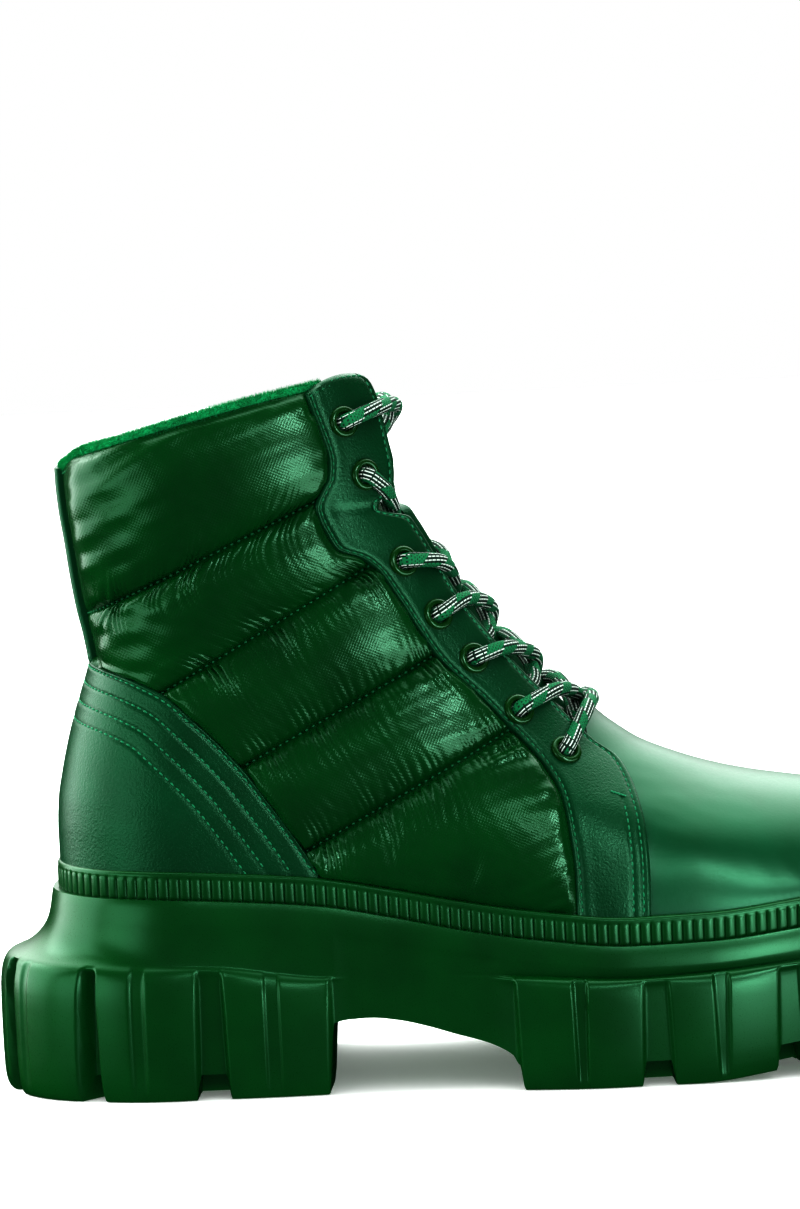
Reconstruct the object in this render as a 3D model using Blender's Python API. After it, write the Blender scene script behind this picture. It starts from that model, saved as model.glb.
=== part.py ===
"""Puffer boot for the right foot: a quilted upper on a deep lugged sole.

Sizes and tables are in millimetres. x runs from heel to toe, y from the lateral side (negative) to
the medial side, and z up from the floor. The finished objects are in metres, centred on the floor.
"""
import bpy
import bmesh
import numpy as np
from mathutils import Matrix, Vector

MM = 0.001
LATERAL = -1
MEDIAL = 1
SIDES = {"lateral": LATERAL, "medial": MEDIAL}

# Driving sizes of the upper
UPPER_HEEL = 19.7
UPPER_LENGTH = 256.8
UPPER_TOE = UPPER_HEEL + UPPER_LENGTH
COLLAR_BACK = 175.5
COLLAR_CAMBER = 1.5
ANKLE_HEIGHT = 115.0
ANKLE_HALF_WIDTH = 32.5
COLLAR_HEIGHT = 190.0
COLLAR_HALF_WIDTH = 36.5
TOE_SWING = 5.0
SWING_START = 140.0
WALL = 2.6
PUFF = 4.5
GAP = 0.3

# How far the heel, toe and ridge roundings reach, and how square they are
HEEL_REACH = 36.0
HEEL_SQUARE = 2.2
TOE_REACH = 72.0
TOE_SQUARE = 2.2
RIDGE_REACH = 50.0
RIDGE_SQUARE = 2.2
REACH_BLEND = 4
TOE_ALLOWANCE = 0.2
QUILT_SLOPE = np.radians(27.0)

# Overlays, trim and lace
LEATHER = 1.5
OVERLAY_GAP = 0.7
OVERLAY_TOP = OVERLAY_GAP + LEATHER
BACKSTAY_HALF_WIDTH = 9.0
COUNTER_TOP = 118.7
COUNTER_REACH = 70.5
PUFF_FADE = 12.5
EYELET_OUTER = 4.4
EYELET_HOLE = 2.5
EYELET_HEIGHT = 1.1
EYELET_SEAT = 0.5
LACE_RADIUS = 2.3
LACE_SIDES = 6
LACE_STEPS = 8

# Driving sizes of the sole
WELT_HEIGHT = 7.2
WELT_GAP = 0.6
WELT_THICKNESS = 2.7
RIB_PITCH = 2.85
RIB_DEPTH = 0.8
INSOLE_THICKNESS = 3.5
INSOLE_CLEARANCE = 1.2
INSOLE_DRAFT = 1.6
RIM = 4.6
RIM_DRAFT = 1.2
RIM_BAND = 5.5
NOTCH_SHARE = 0.3
NOTCH_HEIGHT = 7.0
GROOVE_DEPTH = 1.1
LUG_DRAFT = 1.0
LUG_BULGE = 0.3
FOOT_ROUND = 0.4
FOOT_ROUND_SHARE = 0.1
FOOT_BEVEL = 2.6
WAIST_INSET = 0.5
TREAD_WIDTH = 13.0
TREAD_DRAFT = 2.0
TREAD_RECESS = 8.0


def table(names, *rows):
    """A table with named columns: each column becomes an array under its name."""
    return dict(zip(names.split(), np.array(rows, float).T))


# Foot of the upper: height of the seat and half-widths before heel and toe are rounded
SEAT = table("x height lateral medial",
             (18, 56.0, 34.0, 34.0), (45, 55.3, 35.0, 35.0), (70, 53.7, 36.0, 34.5),
             (90, 51.8, 37.0, 33.5), (110, 48.0, 38.5, 33.0), (130, 43.9, 42.0, 35.0),
             (150, 40.8, 46.0, 39.0), (175, 38.4, 49.5, 44.5), (195, 38.6, 49.8, 47.3),
             (222, 40.9, 48.0, 47.5), (250, 43.5, 46.0, 46.5), (277, 47.0, 44.0, 45.0))

# Back of the upper, from the seat to the collar
HEEL_LINE = table("z x",
                  (55, 19.7), (66, 19.4), (72, 19.4), (80, 19.9), (88, 21.4), (97, 23.6), (105, 26.0),
                  (111, 28.1), (118.5, 30.2), (126, 29.3), (134, 27.7), (143, 26.4), (153, 25.3),
                  (163, 24.1), (170, 23.7), (180, 23.6))

# Top of the toe, vamp and instep, and past the throat the line where the shaft would close in front
RIDGE = table("z x",
              (40, 276.7), (47, 276.5), (52, 275.8), (58, 273.2), (63, 268.3), (67, 260), (70.3, 248),
              (72.9, 237), (75.1, 226), (77.3, 214.7), (80.1, 203.5), (83.8, 192.4), (88.6, 181.4),
              (92.2, 176), (96.6, 170.5), (102.8, 164.5), (109.5, 158), (117.5, 151.5), (127, 143.7),
              (138.5, 135.5), (149, 128.7), (157, 124.5), (164, 122), (170, 121), (176.5, 120),
              (184, 118), (191, 115.5), (198, 112.5), (226, 104), (560, 20))

# Front edge of the upper, measured back from the ridge line; the vamp closes where it is zero
THROAT = table("z setback",
               (40, 0.0), (97, 0.0), (101, 4.5), (107, 8.5), (113, 9.3), (125, 9.5), (135, 8.3),
               (147, 7.2), (152, 7.4), (157, 12.5), (160, 13.5), (163.5, 8.3), (168, 7.2), (200, 7.0))

# Quilt seams and vamp sections. back_run goes down the heel line and then along the seat, front_z is
# the height where the section meets the throat or ridge, strips is the rows up to the next section.
SECTIONS = table("back_run front_z strips",
                 (0, 192.5, 5), (43.5, 173.0, 5), (78.7, 150.3, 4), (112.3, 125.5, 1), (119.2, 122.5, 6),
                 (184, 104.2, 2), (201, 97.0, 2), (227, 88.6, 2), (257, 80.0, 2), (287, 75.0, 2),
                 (317, 70.5, 2), (348, 65.5, 2), (377, 59.5, 2), (405, 53.0, 1), (424.5, 47.0, 1))
COLLAR_ROW, SEAM_A, SEAM_B, SEAM_C, HEEL_CORNER, SEAM_D, THROAT_END = range(7)
ZONE_COLUMNS = (3, 5, 4)
LAST_PANEL_ROWS = 3
EDGE_MARGIN = 2.5
MIN_TRIM_SHARE = 0.015
MIN_PANEL_SHARE = 0.12
TRIM_SAMPLES = 401
CROWDING = 0.5
CROWDED_BELOW = 0.15
PUFF_FULLNESS = 0.8
VAMP_FADE = 2.0

# Front edge of the heel counter, by height
COUNTER_EDGE = table("z x",
                     (50, 96), (58.9, 91), (68.6, 85.4), (80, 77.8), (90.6, 70.1), (102.1, 59.7),
                     (111.5, 49.2), (116.3, 38.5), (118.7, 30.2))

# Lace facing, a row for each pair of points on its rear and front edges
EYESTAY = table("rear_z rear_x front_z front_x",
                (48, 160.3, 46.5, 180.1), (58, 160.1, 58, 180.5), (69.4, 159, 68, 179.9),
                (79, 156.8, 77.5, 177.8), (86.2, 152.7, 85.1, 173.9), (93.4, 147, 90.3, 167.4),
                (99.5, 141.5, 95.8, 161.8), (105.4, 136.2, 102.2, 156), (117.7, 124.6, 115, 144.6),
                (133.3, 115.3, 132, 132), (142.6, 109.2, 143.5, 125.6), (145.9, 104.9, 151.2, 121.3),
                (148.4, 99, 155.8, 118.3), (155.5, 95.1, 158.2, 111.8), (160.5, 93.7, 160.2, 110.8),
                (164.3, 95.2, 164, 114.6), (168.5, 97.3, 168.5, 114.9), (173.2, 97.6, 174.5, 114.2),
                (182.7, 95.1, 182.6, 112.3), (188.2, 93.2, 188, 110.7), (192.6, 92.2, 194.3, 106.4))
EYESTAY_COLUMNS = 5

EYELETS = table("x z",
                (101.8, 183.1), (106.9, 168.5), (116.4, 143.6), (125.2, 128.4), (134.6, 115.7),
                (146.4, 100.7), (158.9, 88.7))

# Lace: how far it clears the facing's edge, and how much higher edge and ridge are than their eyelet
LACE_OVER = 2.0
EYELET_TO_EDGE = 7.0
EYELET_TO_RIDGE = 10.0

# Strand of a crossing, from its eyelet row to the next: where it passes edge, middle and far side
STRAND_ROWS = {"edge": 0.15, "middle": 0.40, "end": 0.62}
STRAND_RISE = 1.2
STRAND_STAGGER = 0.3
STRAND_END_SIDE = 7.5
STRAND_END_DEPTH = 2.5

# Bottom bar of the lace: where it passes the facing's edge, and its middle on the ridge line
BAR_EDGE_X = 164.0
BAR_EDGE_Z = 98.0
BAR_MIDDLE_Z = 100.0
BAR_RISE = 3.5

# Tongue: depth under the ridge line, how much its sides curl down, and its half-width
TONGUE = table("ridge_z depth curl half",
               (90, 3.6, 0.0150, 14), (97, 5.0, 0.0165, 18), (106, 6.8, 0.0180, 21.5),
               (118, 8.6, 0.0195, 23.5), (135, 9.8, 0.0195, 25), (155, 11.0, 0.0185, 26),
               (175, 11.0, 0.0185, 26), (189, 11.0, 0.0195, 24))
TONGUE_THICKNESS = 3.6
TONGUE_ROWS = 11
TONGUE_COLUMNS = 6

# Lugs of one side, by their start and end along the seat from the heel's middle to the toe's
LUGS = table("start end",
             (0, 9), (12.5, 30.4), (33.5, 56.5), (63.6, 92.8),
             (145.5, 178.6), (185.5, 214.5), (220.5, 248), (254, 279.5), (285, 305.5))
GROOVE = (0.37, 0.41, 0.53, 0.57)
WAIST_STATIONS = (95, 103, 113, 124, 134, 142)

# Sole along the foot: how far the lugs stand out at the side, their top, and where they meet the floor
SOLE = table("x flare lug_top ground",
             (19, 10.5, 38.0, 0), (60, 10.0, 36.5, 0), (91, 9.0, 32.5, 0), (143, 8.5, 31.0, 0),
             (176, 8.5, 29.6, 0), (190, 8.5, 30.0, 0), (212, 8.5, 31.4, 2.2), (240, 8.5, 33.5, 6.0),
             (262, 8.5, 36.0, 10.0), (277, 8.5, 38.5, 12.5))
HEEL_FLARE = 21.2
TOE_FLARE = 13.0

# Hollow of the side above the lugs: shares of the way out to their face and of the way down
COVE = table("out drop", (0.30, 0.55), (0.68, 0.88))

# Face of the lugs, by shares of their height from the top: where the shoulder, face and bulge are
SHOULDER_OUT = 0.90
SHOULDER_DROP = 0.04
FACE_DROP = 0.20
BULGE_DROP = 0.55

# Underside of the waist
ARCH = table("x height",
             (90, 18.5), (96, 20.4), (103, 20.7), (111, 19.8), (119, 18.0), (127, 15.6), (135, 13.3),
             (140, 11.1), (144, 8.2))

# Colours as linear values, with roughness and metallic share
FINISHES = {
    "nylon": ((0.002, 0.045, 0.012), 0.35, 0.0),
    "leather": ((0.002, 0.060, 0.022), 0.45, 0.0),
    "rubber": ((0.001, 0.065, 0.013), 0.40, 0.0),
    "felt": ((0.010, 0.120, 0.050), 0.90, 0.0),
    "enamel": ((0.004, 0.040, 0.006), 0.30, 0.2),
    "lace": ((0.010, 0.200, 0.090), 0.80, 0.0),
}


def smooth(xs, ys, x):
    """Monotone cubic curve through the rows of a table, held level beyond its ends."""
    x = np.clip(np.asarray(x, float), xs[0], xs[-1])
    step = np.diff(xs)
    rise = np.diff(ys) / step
    same = rise[:-1] * rise[1:] > 0
    mean = 2 * rise[:-1] * rise[1:] / np.where(same, rise[:-1] + rise[1:], 1)
    slope = np.concatenate((rise[:1], np.where(same, mean, 0), rise[-1:]))
    i = np.clip(np.searchsorted(xs, x, side="right") - 1, 0, len(step) - 1)
    t = (x - xs[i]) / step[i]
    start = (1 + 2 * t) * (1 - t) ** 2 * ys[i] + t * (1 - t) ** 2 * step[i] * slope[i]
    end = t ** 2 * (3 - 2 * t) * ys[i + 1] + t ** 2 * (t - 1) * step[i] * slope[i + 1]
    return start + end


def ease(t):
    """Soft step from 0 to 1."""
    t = np.clip(t, 0, 1)
    return t * t * (3 - 2 * t)


def quarter_round(t, square):
    """Quarter of a superellipse: rises from 0 with an upright start to 1 with a level end."""
    t = np.clip(t, 0, 1)
    return (1 - (1 - t) ** square) ** (1 / square)


RIDGE_Z = np.linspace(RIDGE["z"][0], RIDGE["z"][-1], 4000)
RIDGE_X = smooth(RIDGE["z"], RIDGE["x"], RIDGE_Z)


def ridge_x(z):
    return np.interp(z, RIDGE_Z, RIDGE_X)


def ridge_z(x):
    return np.interp(x, RIDGE_X[::-1], RIDGE_Z[::-1])


def heel_x(z):
    return smooth(HEEL_LINE["z"], HEEL_LINE["x"], z)


def seat_z(x):
    return smooth(SEAT["x"], SEAT["height"], x)


def swing(x):
    """Middle line of the foot, which bends to the medial side towards the toe."""
    return TOE_SWING * ease((x - SWING_START) / (UPPER_TOE - SWING_START))


def half_width(x, z, side):
    """Half-width of the upper at a point of its side view, zero on the heel line and on the ridge."""
    seat = seat_z(x)
    foot = smooth(SEAT["x"], SEAT["lateral"], x)
    foot = np.where(side == LATERAL, foot, smooth(SEAT["x"], SEAT["medial"], x))
    body = foot + (ANKLE_HALF_WIDTH - foot) * ease((z - seat) / (ANKLE_HEIGHT - seat))
    shaft = ease((z - ANKLE_HEIGHT) / (COLLAR_HEIGHT - ANKLE_HEIGHT))
    body = body + (COLLAR_HALF_WIDTH - ANKLE_HALF_WIDTH) * shaft
    ahead = np.maximum(ridge_x(z) - x, 0)
    above = np.maximum(ridge_z(x) - z, 0)
    to_ridge = ahead * above / (np.cos(QUILT_SLOPE) * above + np.sin(QUILT_SLOPE) * ahead + 1e-9)
    to_welt = np.maximum(z - seat - WELT_HEIGHT, 0) / np.sin(QUILT_SLOPE)
    reach = (to_ridge + to_welt + 1e-6) ** -REACH_BLEND + RIDGE_REACH ** -REACH_BLEND
    reach = reach ** (-1 / REACH_BLEND)
    heel = quarter_round((x - heel_x(z)) / HEEL_REACH, HEEL_SQUARE)
    toe = quarter_round((UPPER_TOE + TOE_ALLOWANCE - x) / TOE_REACH, TOE_SQUARE)
    return body * heel * toe * quarter_round(to_ridge / reach, RIDGE_SQUARE)


def skin(x, z, side, lift):
    """Point of the upper's surface over a point of its side view, lifted along the normal."""
    delta = 0.02
    width = half_width(x, z, side)
    closed = width < 1e-6

    def slopes(which, power):
        along = half_width(x + delta, z, which) ** power - half_width(x - delta, z, which) ** power
        up = half_width(x, z + delta, which) ** power - half_width(x, z - delta, which) ** power
        return along / (2 * delta), up / (2 * delta)

    along, up = slopes(side, 1)
    near_along, near_up = slopes(LATERAL, HEEL_SQUARE)
    far_along, far_up = slopes(MEDIAL, HEEL_SQUARE)
    along = np.where(closed, near_along + far_along, along)
    up = np.where(closed, near_up + far_up, up)
    bend = (swing(x + delta) - swing(x - delta)) / (2 * delta)
    normal = np.stack((-along - side * bend, np.where(closed, 0, side), -up), axis=-1)
    normal /= np.linalg.norm(normal, axis=-1, keepdims=True)
    point = np.stack((x, swing(x) + side * width, z), axis=-1)
    return point + normal * np.asarray(lift)[..., None]


# Seat outline of each side, from the heel's middle to the toe's, with its run and plan normals
OUTLINE_STEPS = 1500
OUTLINE_X = UPPER_HEEL + UPPER_LENGTH * (1 - np.cos(np.linspace(0, np.pi, OUTLINE_STEPS))) / 2


def side_outline(side):
    y = swing(OUTLINE_X) + side * half_width(OUTLINE_X, seat_z(OUTLINE_X) + GAP, side)
    y[0] = swing(OUTLINE_X[0])
    y[-1] = swing(OUTLINE_X[-1])
    tangent = np.stack((np.gradient(OUTLINE_X), np.gradient(y)))
    tangent /= np.linalg.norm(tangent, axis=0)
    normal = np.stack((side * -tangent[1], side * tangent[0]))
    normal[:, 0] = (-1, 0)
    normal[:, -1] = (1, 0)
    return y, normal


OUTLINE = {side: side_outline(side) for side in SIDES.values()}
OUTLINE_RUN = np.concatenate(([0], np.cumsum(np.hypot(np.diff(OUTLINE_X), np.diff(OUTLINE[LATERAL][0])))))
OUTLINE_END = OUTLINE_RUN[-1]


def seat_x(run):
    return np.interp(run, OUTLINE_RUN, OUTLINE_X)


def seat_normal_x(run):
    return np.interp(run, OUTLINE_RUN, OUTLINE[LATERAL][1][0])


def outline_point(run, side, offset):
    """Plan point at a run along the seat outline, moved out by an offset."""
    y, normal = OUTLINE[side]
    nx = np.interp(run, OUTLINE_RUN, normal[0])
    ny = np.interp(run, OUTLINE_RUN, normal[1])
    size = np.hypot(nx, ny)
    return seat_x(run) + nx / size * offset, np.interp(run, OUTLINE_RUN, y) + ny / size * offset


def loop_points(runs, offset, height):
    """Closed loop round the foot: the lateral side from heel to toe, then the medial side back."""
    x, y = outline_point(runs, LATERAL, offset)
    lateral = np.stack((x, y, height), axis=-1)
    x, y = outline_point(runs, MEDIAL, offset)
    medial = np.stack((x, y, height), axis=-1)
    return np.concatenate((lateral, medial[-2:0:-1]))


# The box of the sole sets the middle of the part
CENTRE = np.array(((UPPER_HEEL - HEEL_FLARE + UPPER_TOE + TOE_FLARE) / 2,
                   (OUTLINE[LATERAL][0].min() + OUTLINE[MEDIAL][0].max()) / 2, 0.0))


def finish(name):
    """The Principled material of one object."""
    colour, roughness, metallic = FINISHES[name]
    material = bpy.data.materials.new(name)
    material.use_nodes = True
    shader = material.node_tree.nodes["Principled BSDF"]
    shader.inputs["Base Color"].default_value = (*colour, 1)
    shader.inputs["Roughness"].default_value = roughness
    shader.inputs["Metallic"].default_value = metallic
    material.diffuse_color = (*colour, 1)
    return material


def add_mesh(name, points, faces, material, centred=True):
    """Mesh object from points in millimetres, its faces turned outwards."""
    mesh = bpy.data.meshes.new(name)
    shift = CENTRE if centred else np.zeros(3)
    mesh.from_pydata(((points - shift) * MM).tolist(), [], faces)
    shape = bmesh.new()
    shape.from_mesh(mesh)
    bmesh.ops.recalc_face_normals(shape, faces=shape.faces)
    shape.to_mesh(mesh)
    shape.free()
    mesh.shade_smooth()
    mesh.set_sharp_from_angle(angle=np.radians(35))
    part = bpy.data.objects.new(name, mesh)
    part.data.materials.append(finish(material))
    bpy.context.scene.collection.objects.link(part)
    return part


def grid_faces(rows, columns, first=0):
    faces = []
    for i in range(rows - 1):
        for j in range(columns - 1):
            a = first + i * columns + j
            faces.append((a, a + 1, a + columns + 1, a + columns))
    return faces


def join_sheets(sheets):
    """Join grids of points that meet along shared points, such as the two halves of the upper."""
    outer = np.concatenate([np.reshape(sheet[0], (-1, 3)) for sheet in sheets])
    inner = np.concatenate([np.reshape(sheet[1], (-1, 3)) for sheet in sheets])
    faces = []
    first = 0
    for sheet_outer, _ in sheets:
        rows, columns = sheet_outer.shape[:2]
        faces += grid_faces(rows, columns, first)
        first += rows * columns
    _, keep, index = np.unique(np.round(outer, 3), axis=0, return_index=True, return_inverse=True)
    index = index.reshape(-1)
    joined = []
    for face in faces:
        corners = list(dict.fromkeys(int(index[corner]) for corner in face))
        if len(corners) > 2:
            joined.append(tuple(corners))
    return outer[keep], inner[keep], joined


def thick_sheet(name, sheets, material):
    """Closed solid between the outer and inner points of one or more joined grids."""
    outer, inner, faces = join_sheets(sheets)
    count = len(outer)
    uses = {}
    for face in faces:
        for a, b in zip(face, face[1:] + face[:1]):
            uses.setdefault(frozenset((a, b)), []).append((a, b))
    rims = [edges[0] for edges in uses.values() if len(edges) == 1]
    solid = list(faces)
    solid += [tuple(count + corner for corner in reversed(face)) for face in faces]
    solid += [(b, a, count + a, count + b) for a, b in rims]
    return add_mesh(name, np.concatenate((outer, inner)), solid, material)


def throat_edge_x(z):
    return ridge_x(z) - smooth(THROAT["z"], THROAT["setback"], z)


def back_point(run):
    """Back edge of the upper's half: down the heel line, then forward along the seat."""
    drop = SECTIONS["back_run"][HEEL_CORNER]
    x_seat = seat_x(run - drop)
    z_heel = COLLAR_BACK - run * (COLLAR_BACK - seat_z(UPPER_HEEL) - GAP) / drop
    z = np.where(run <= drop, z_heel, seat_z(x_seat) + GAP)
    x = np.where(run <= drop, heel_x(z_heel), x_seat)
    return x, z


def section_rows():
    """Row numbers of the sections and the section position of every row."""
    strips = SECTIONS["strips"][:-1].astype(int)
    first_rows = np.concatenate(([0], np.cumsum(strips)))
    position = np.interp(np.arange(first_rows[-1] + 1), first_rows, np.arange(len(first_rows)))
    return first_rows, position


def trim_shares(x, z):
    """Shares along each section where it leaves the counter or backstay, and where it meets the eyestay."""
    share = np.linspace(0, 1, x.shape[1])
    past_counter = x > smooth(COUNTER_EDGE["z"], COUNTER_EDGE["x"], z) + EDGE_MARGIN
    past_counter |= z > COUNTER_TOP + EDGE_MARGIN
    past_backstay = half_width(x, z, LATERAL) > BACKSTAY_HALF_WIDTH + EDGE_MARGIN
    leaves = share[np.argmax(past_counter & past_backstay, axis=1)]
    meets = share[np.argmax(x > smooth(EYESTAY["rear_z"], EYESTAY["rear_x"], z) - EDGE_MARGIN, axis=1)]
    leaves = np.maximum(leaves, MIN_TRIM_SHARE)
    return leaves, np.clip(meets, leaves + MIN_PANEL_SHARE, 1 - MIN_TRIM_SHARE)


def upper_side_view():
    """Side-view grid of one half of the upper, with the padding's lift at each of its points.

    Rows lie along the quilt seams. Columns follow the edges of counter, backstay and eyestay on the
    quarters, and are spread evenly over the vamp.
    """
    first_rows, position = section_rows()
    sections = np.arange(len(first_rows), dtype=float)
    back_x, back_z = back_point(np.interp(position, sections, SECTIONS["back_run"]))
    front_z = np.interp(position, sections, SECTIONS["front_z"])
    front_x = throat_edge_x(front_z)
    front_x[-1] = back_x[-1]
    front_z[-1] = back_z[-1]
    camber = COLLAR_CAMBER * np.clip(1 - position, 0, 1)[:, None]

    def along(share):
        x = back_x[:, None] + (front_x - back_x)[:, None] * share
        z = back_z[:, None] + (front_z - back_z)[:, None] * share
        return x, z + camber * 4 * share * (1 - share)

    leaves, meets = trim_shares(*along(np.linspace(0, 1, TRIM_SAMPLES)[None, :]))
    leaves = leaves[:, None]
    meets = meets[:, None]
    back_t, panel_t, front_t = (np.linspace(0, 1, count + 1)[None, :] for count in ZONE_COLUMNS)
    ring = 1 - ease((position - HEEL_CORNER) / (THROAT_END - HEEL_CORNER))[:, None]
    crowd = 1 + CROWDING * ease(1 - leaves / CROWDED_BELOW)
    back = leaves * (ring * (1 - np.cos(np.pi / 2 * back_t)) + (1 - ring) * back_t)
    panel = leaves + (meets - leaves) * panel_t ** crowd
    front = meets + (1 - meets) * np.sin(np.pi / 2 * front_t)
    trimmed = np.concatenate((back[:, :-1], panel[:, :-1], front), axis=1)
    even = np.sin(np.pi / 2 * np.linspace(0, 1, trimmed.shape[1]))[None, :]
    quarter = 1 - ease((position - THROAT_END) / VAMP_FADE)[:, None]
    share = quarter * trimmed + (1 - quarter) * even
    x, z = along(share)
    length = np.hypot(front_x - back_x, front_z - back_z)[:, None]
    from_trim = np.minimum(share - leaves, meets - share) * length
    from_welt = z - seat_z(x) - WELT_HEIGHT - 2 * EDGE_MARGIN
    seams = first_rows[[COLLAR_ROW, SEAM_A, SEAM_B, SEAM_C, SEAM_D]]
    row = np.arange(len(position))
    channel = np.clip(np.searchsorted(seams, row, side="right") - 1, 0, len(seams) - 2)
    across = (row - seams[channel]) / (seams[channel + 1] - seams[channel])
    swell = np.sin(np.pi * np.clip(across, 0, 1)) ** PUFF_FULLNESS
    last_panel = np.sin(np.pi / 2 * np.clip((row - seams[-1]) / LAST_PANEL_ROWS, 0, 1))
    swell = np.where(row > seams[-1], last_panel, swell)[:, None]
    lift = PUFF * swell * ease(from_trim / PUFF_FADE) * ease(from_welt / PUFF_FADE)
    return x, z, lift * quarter


def make_upper():
    x, z, lift = upper_side_view()
    foot = seat_z(x) + GAP
    on_seat = z < foot + 1e-6
    halves = []
    for side in SIDES.values():
        outer = skin(x, z, side, lift)
        inner = skin(x, z, side, np.full_like(x, -WALL))
        inner[..., 2] = np.where(on_seat, z, np.maximum(inner[..., 2], (foot + z) / 2))
        halves.append((outer, inner))
    return thick_sheet("upper", halves, "nylon")


def overlay(x, z, side):
    """Outer and inner points of a leather overlay over a side-view grid."""
    return (skin(x, z, side, np.full_like(x, OVERLAY_TOP)),
            skin(x, z, side, np.full_like(x, OVERLAY_GAP)))


def make_counter():
    """Heel patch from the welt up to its apex on the back seam."""
    rows = 8
    columns = 9
    rise = np.linspace(0, 1, rows)[:, None]
    forward = COUNTER_REACH * (1 - np.cos(np.linspace(0, np.pi / 2, columns)))[None, :]
    edge_reach = COUNTER_EDGE["x"] - heel_x(COUNTER_EDGE["z"])
    top = smooth(edge_reach[::-1], COUNTER_EDGE["z"][::-1], forward)
    bottom = seat_z(UPPER_HEEL + forward) + WELT_HEIGHT + 3 * GAP
    z = bottom + (top - bottom) * rise
    x = heel_x(z) + forward
    thick_sheet("counter", [overlay(x, z, side) for side in SIDES.values()], "leather")


def make_backstay():
    """Strip down the back of the shaft, from the collar to the counter."""
    rows = 8
    columns = 3
    z = np.linspace(COUNTER_TOP + 0.6, COLLAR_BACK, rows)[:, None] + np.zeros((1, columns))
    across = BACKSTAY_HALF_WIDTH * np.linspace(0, 1, columns)[None, :]
    shaft = ease((z - ANKLE_HEIGHT) / (COLLAR_HEIGHT - ANKLE_HEIGHT))
    body = ANKLE_HALF_WIDTH + (COLLAR_HALF_WIDTH - ANKLE_HALF_WIDTH) * shaft
    turn = 1 - (1 - (across / body) ** HEEL_SQUARE) ** (1 / HEEL_SQUARE)
    x = heel_x(z) + HEEL_REACH * turn
    thick_sheet("backstay", [overlay(x, z, side) for side in SIDES.values()], "leather")


def make_eyestay(side_name):
    """Lace facing, from the welt up past the notch to the collar."""
    t = np.sin(np.linspace(0, np.pi / 2, EYESTAY_COLUMNS + 1))[None, :]
    x = EYESTAY["rear_x"][:, None] + (EYESTAY["front_x"] - EYESTAY["rear_x"])[:, None] * t
    z = EYESTAY["rear_z"][:, None] + (EYESTAY["front_z"] - EYESTAY["rear_z"])[:, None] * t
    thick_sheet("eyestay_" + side_name, [overlay(x, z, SIDES[side_name])], "leather")


def ridge_frame(z):
    """Point of the ridge line in the side view and the direction from it into the boot."""
    delta = 0.5
    along = np.stack((ridge_x(z + delta) - ridge_x(z - delta), np.full_like(z, 2 * delta)), axis=-1)
    along /= np.linalg.norm(along, axis=-1, keepdims=True)
    point = np.stack((ridge_x(z), z), axis=-1)
    inward = np.stack((-along[..., 1], along[..., 0]), axis=-1)
    return point, inward


def ridge_point(z, y, depth):
    """3D point at a depth under the ridge line, moved sideways from the middle of the foot."""
    point, inward = ridge_frame(np.asarray(z, float))
    flat = point + inward * np.asarray(depth, float)[..., None]
    return np.stack((flat[..., 0], swing(flat[..., 0]) + y, flat[..., 1]), axis=-1)


def make_tongue():
    """Padded sheet behind the throat, sewn in under the vamp."""
    level = np.linspace(TONGUE["ridge_z"][0], TONGUE["ridge_z"][-1], TONGUE_ROWS)[:, None]
    half = smooth(TONGUE["ridge_z"], TONGUE["half"], level)
    depth = smooth(TONGUE["ridge_z"], TONGUE["depth"], level)
    curl = smooth(TONGUE["ridge_z"], TONGUE["curl"], level)
    y = half * np.linspace(-1, 1, TONGUE_COLUMNS + 1)[None, :]
    level = level + np.zeros_like(y)
    outer = ridge_point(level, y, depth + curl * y ** 2)
    inner = ridge_point(level, y, depth + curl * y ** 2 + TONGUE_THICKNESS)
    thick_sheet("tongue", [(outer, inner)], "nylon")


def loop_solid(name, rows, material):
    """Solid skinned over loops round the foot, its first and last loop closed from side to side."""
    count = rows.shape[1]
    half = count // 2
    faces = []
    for i in range(rows.shape[0] - 1):
        for j in range(count):
            a = i * count + j
            b = i * count + (j + 1) % count
            faces.append((a, b, b + count, a + count))
    for first in (0, (rows.shape[0] - 1) * count):
        for k in range(half):
            corners = (k, k + 1, (count - k - 1) % count, (count - k) % count)
            faces.append(tuple(dict.fromkeys(first + corner for corner in corners)))
    return add_mesh(name, rows.reshape(-1, 3), faces, material)


def make_insole():
    runs = OUTLINE_END * (1 - np.cos(np.linspace(0, np.pi, 25))) / 2
    bottom = seat_z(seat_x(runs)) + GAP
    inset = -WALL - INSOLE_CLEARANCE
    loops = [loop_points(runs, inset, bottom),
             loop_points(runs, inset - INSOLE_DRAFT, bottom + INSOLE_THICKNESS)]
    loop_solid("insole", np.stack(loops), "felt")


def sole_stations():
    """Stations along one side of the sole: run, lug share (0 in a notch, 1 on a lug) and ground."""
    stations = []
    for start, end in zip(LUGS["start"], np.minimum(LUGS["end"], OUTLINE_END)):
        width = end - start
        if start > 0:
            stations.append((start, 0.0))
            stations.append((start + LUG_DRAFT, 1.0))
        else:
            stations.append((0.0, 1.0))
        if start > 0 and end < OUTLINE_END:
            groove = [start + share * width for share in GROOVE]
            stations += [(groove[0], 1.0), (groove[1], 0.5), (groove[2], 0.5), (groove[3], 1.0)]
        if end < OUTLINE_END:
            stations.append((end - LUG_DRAFT, 1.0))
            stations.append((end, 0.0))
        else:
            stations.append((OUTLINE_END, 1.0))
    stations += [(run, 0.0) for run in WAIST_STATIONS]
    stations.sort()
    return np.array(stations)


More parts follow.
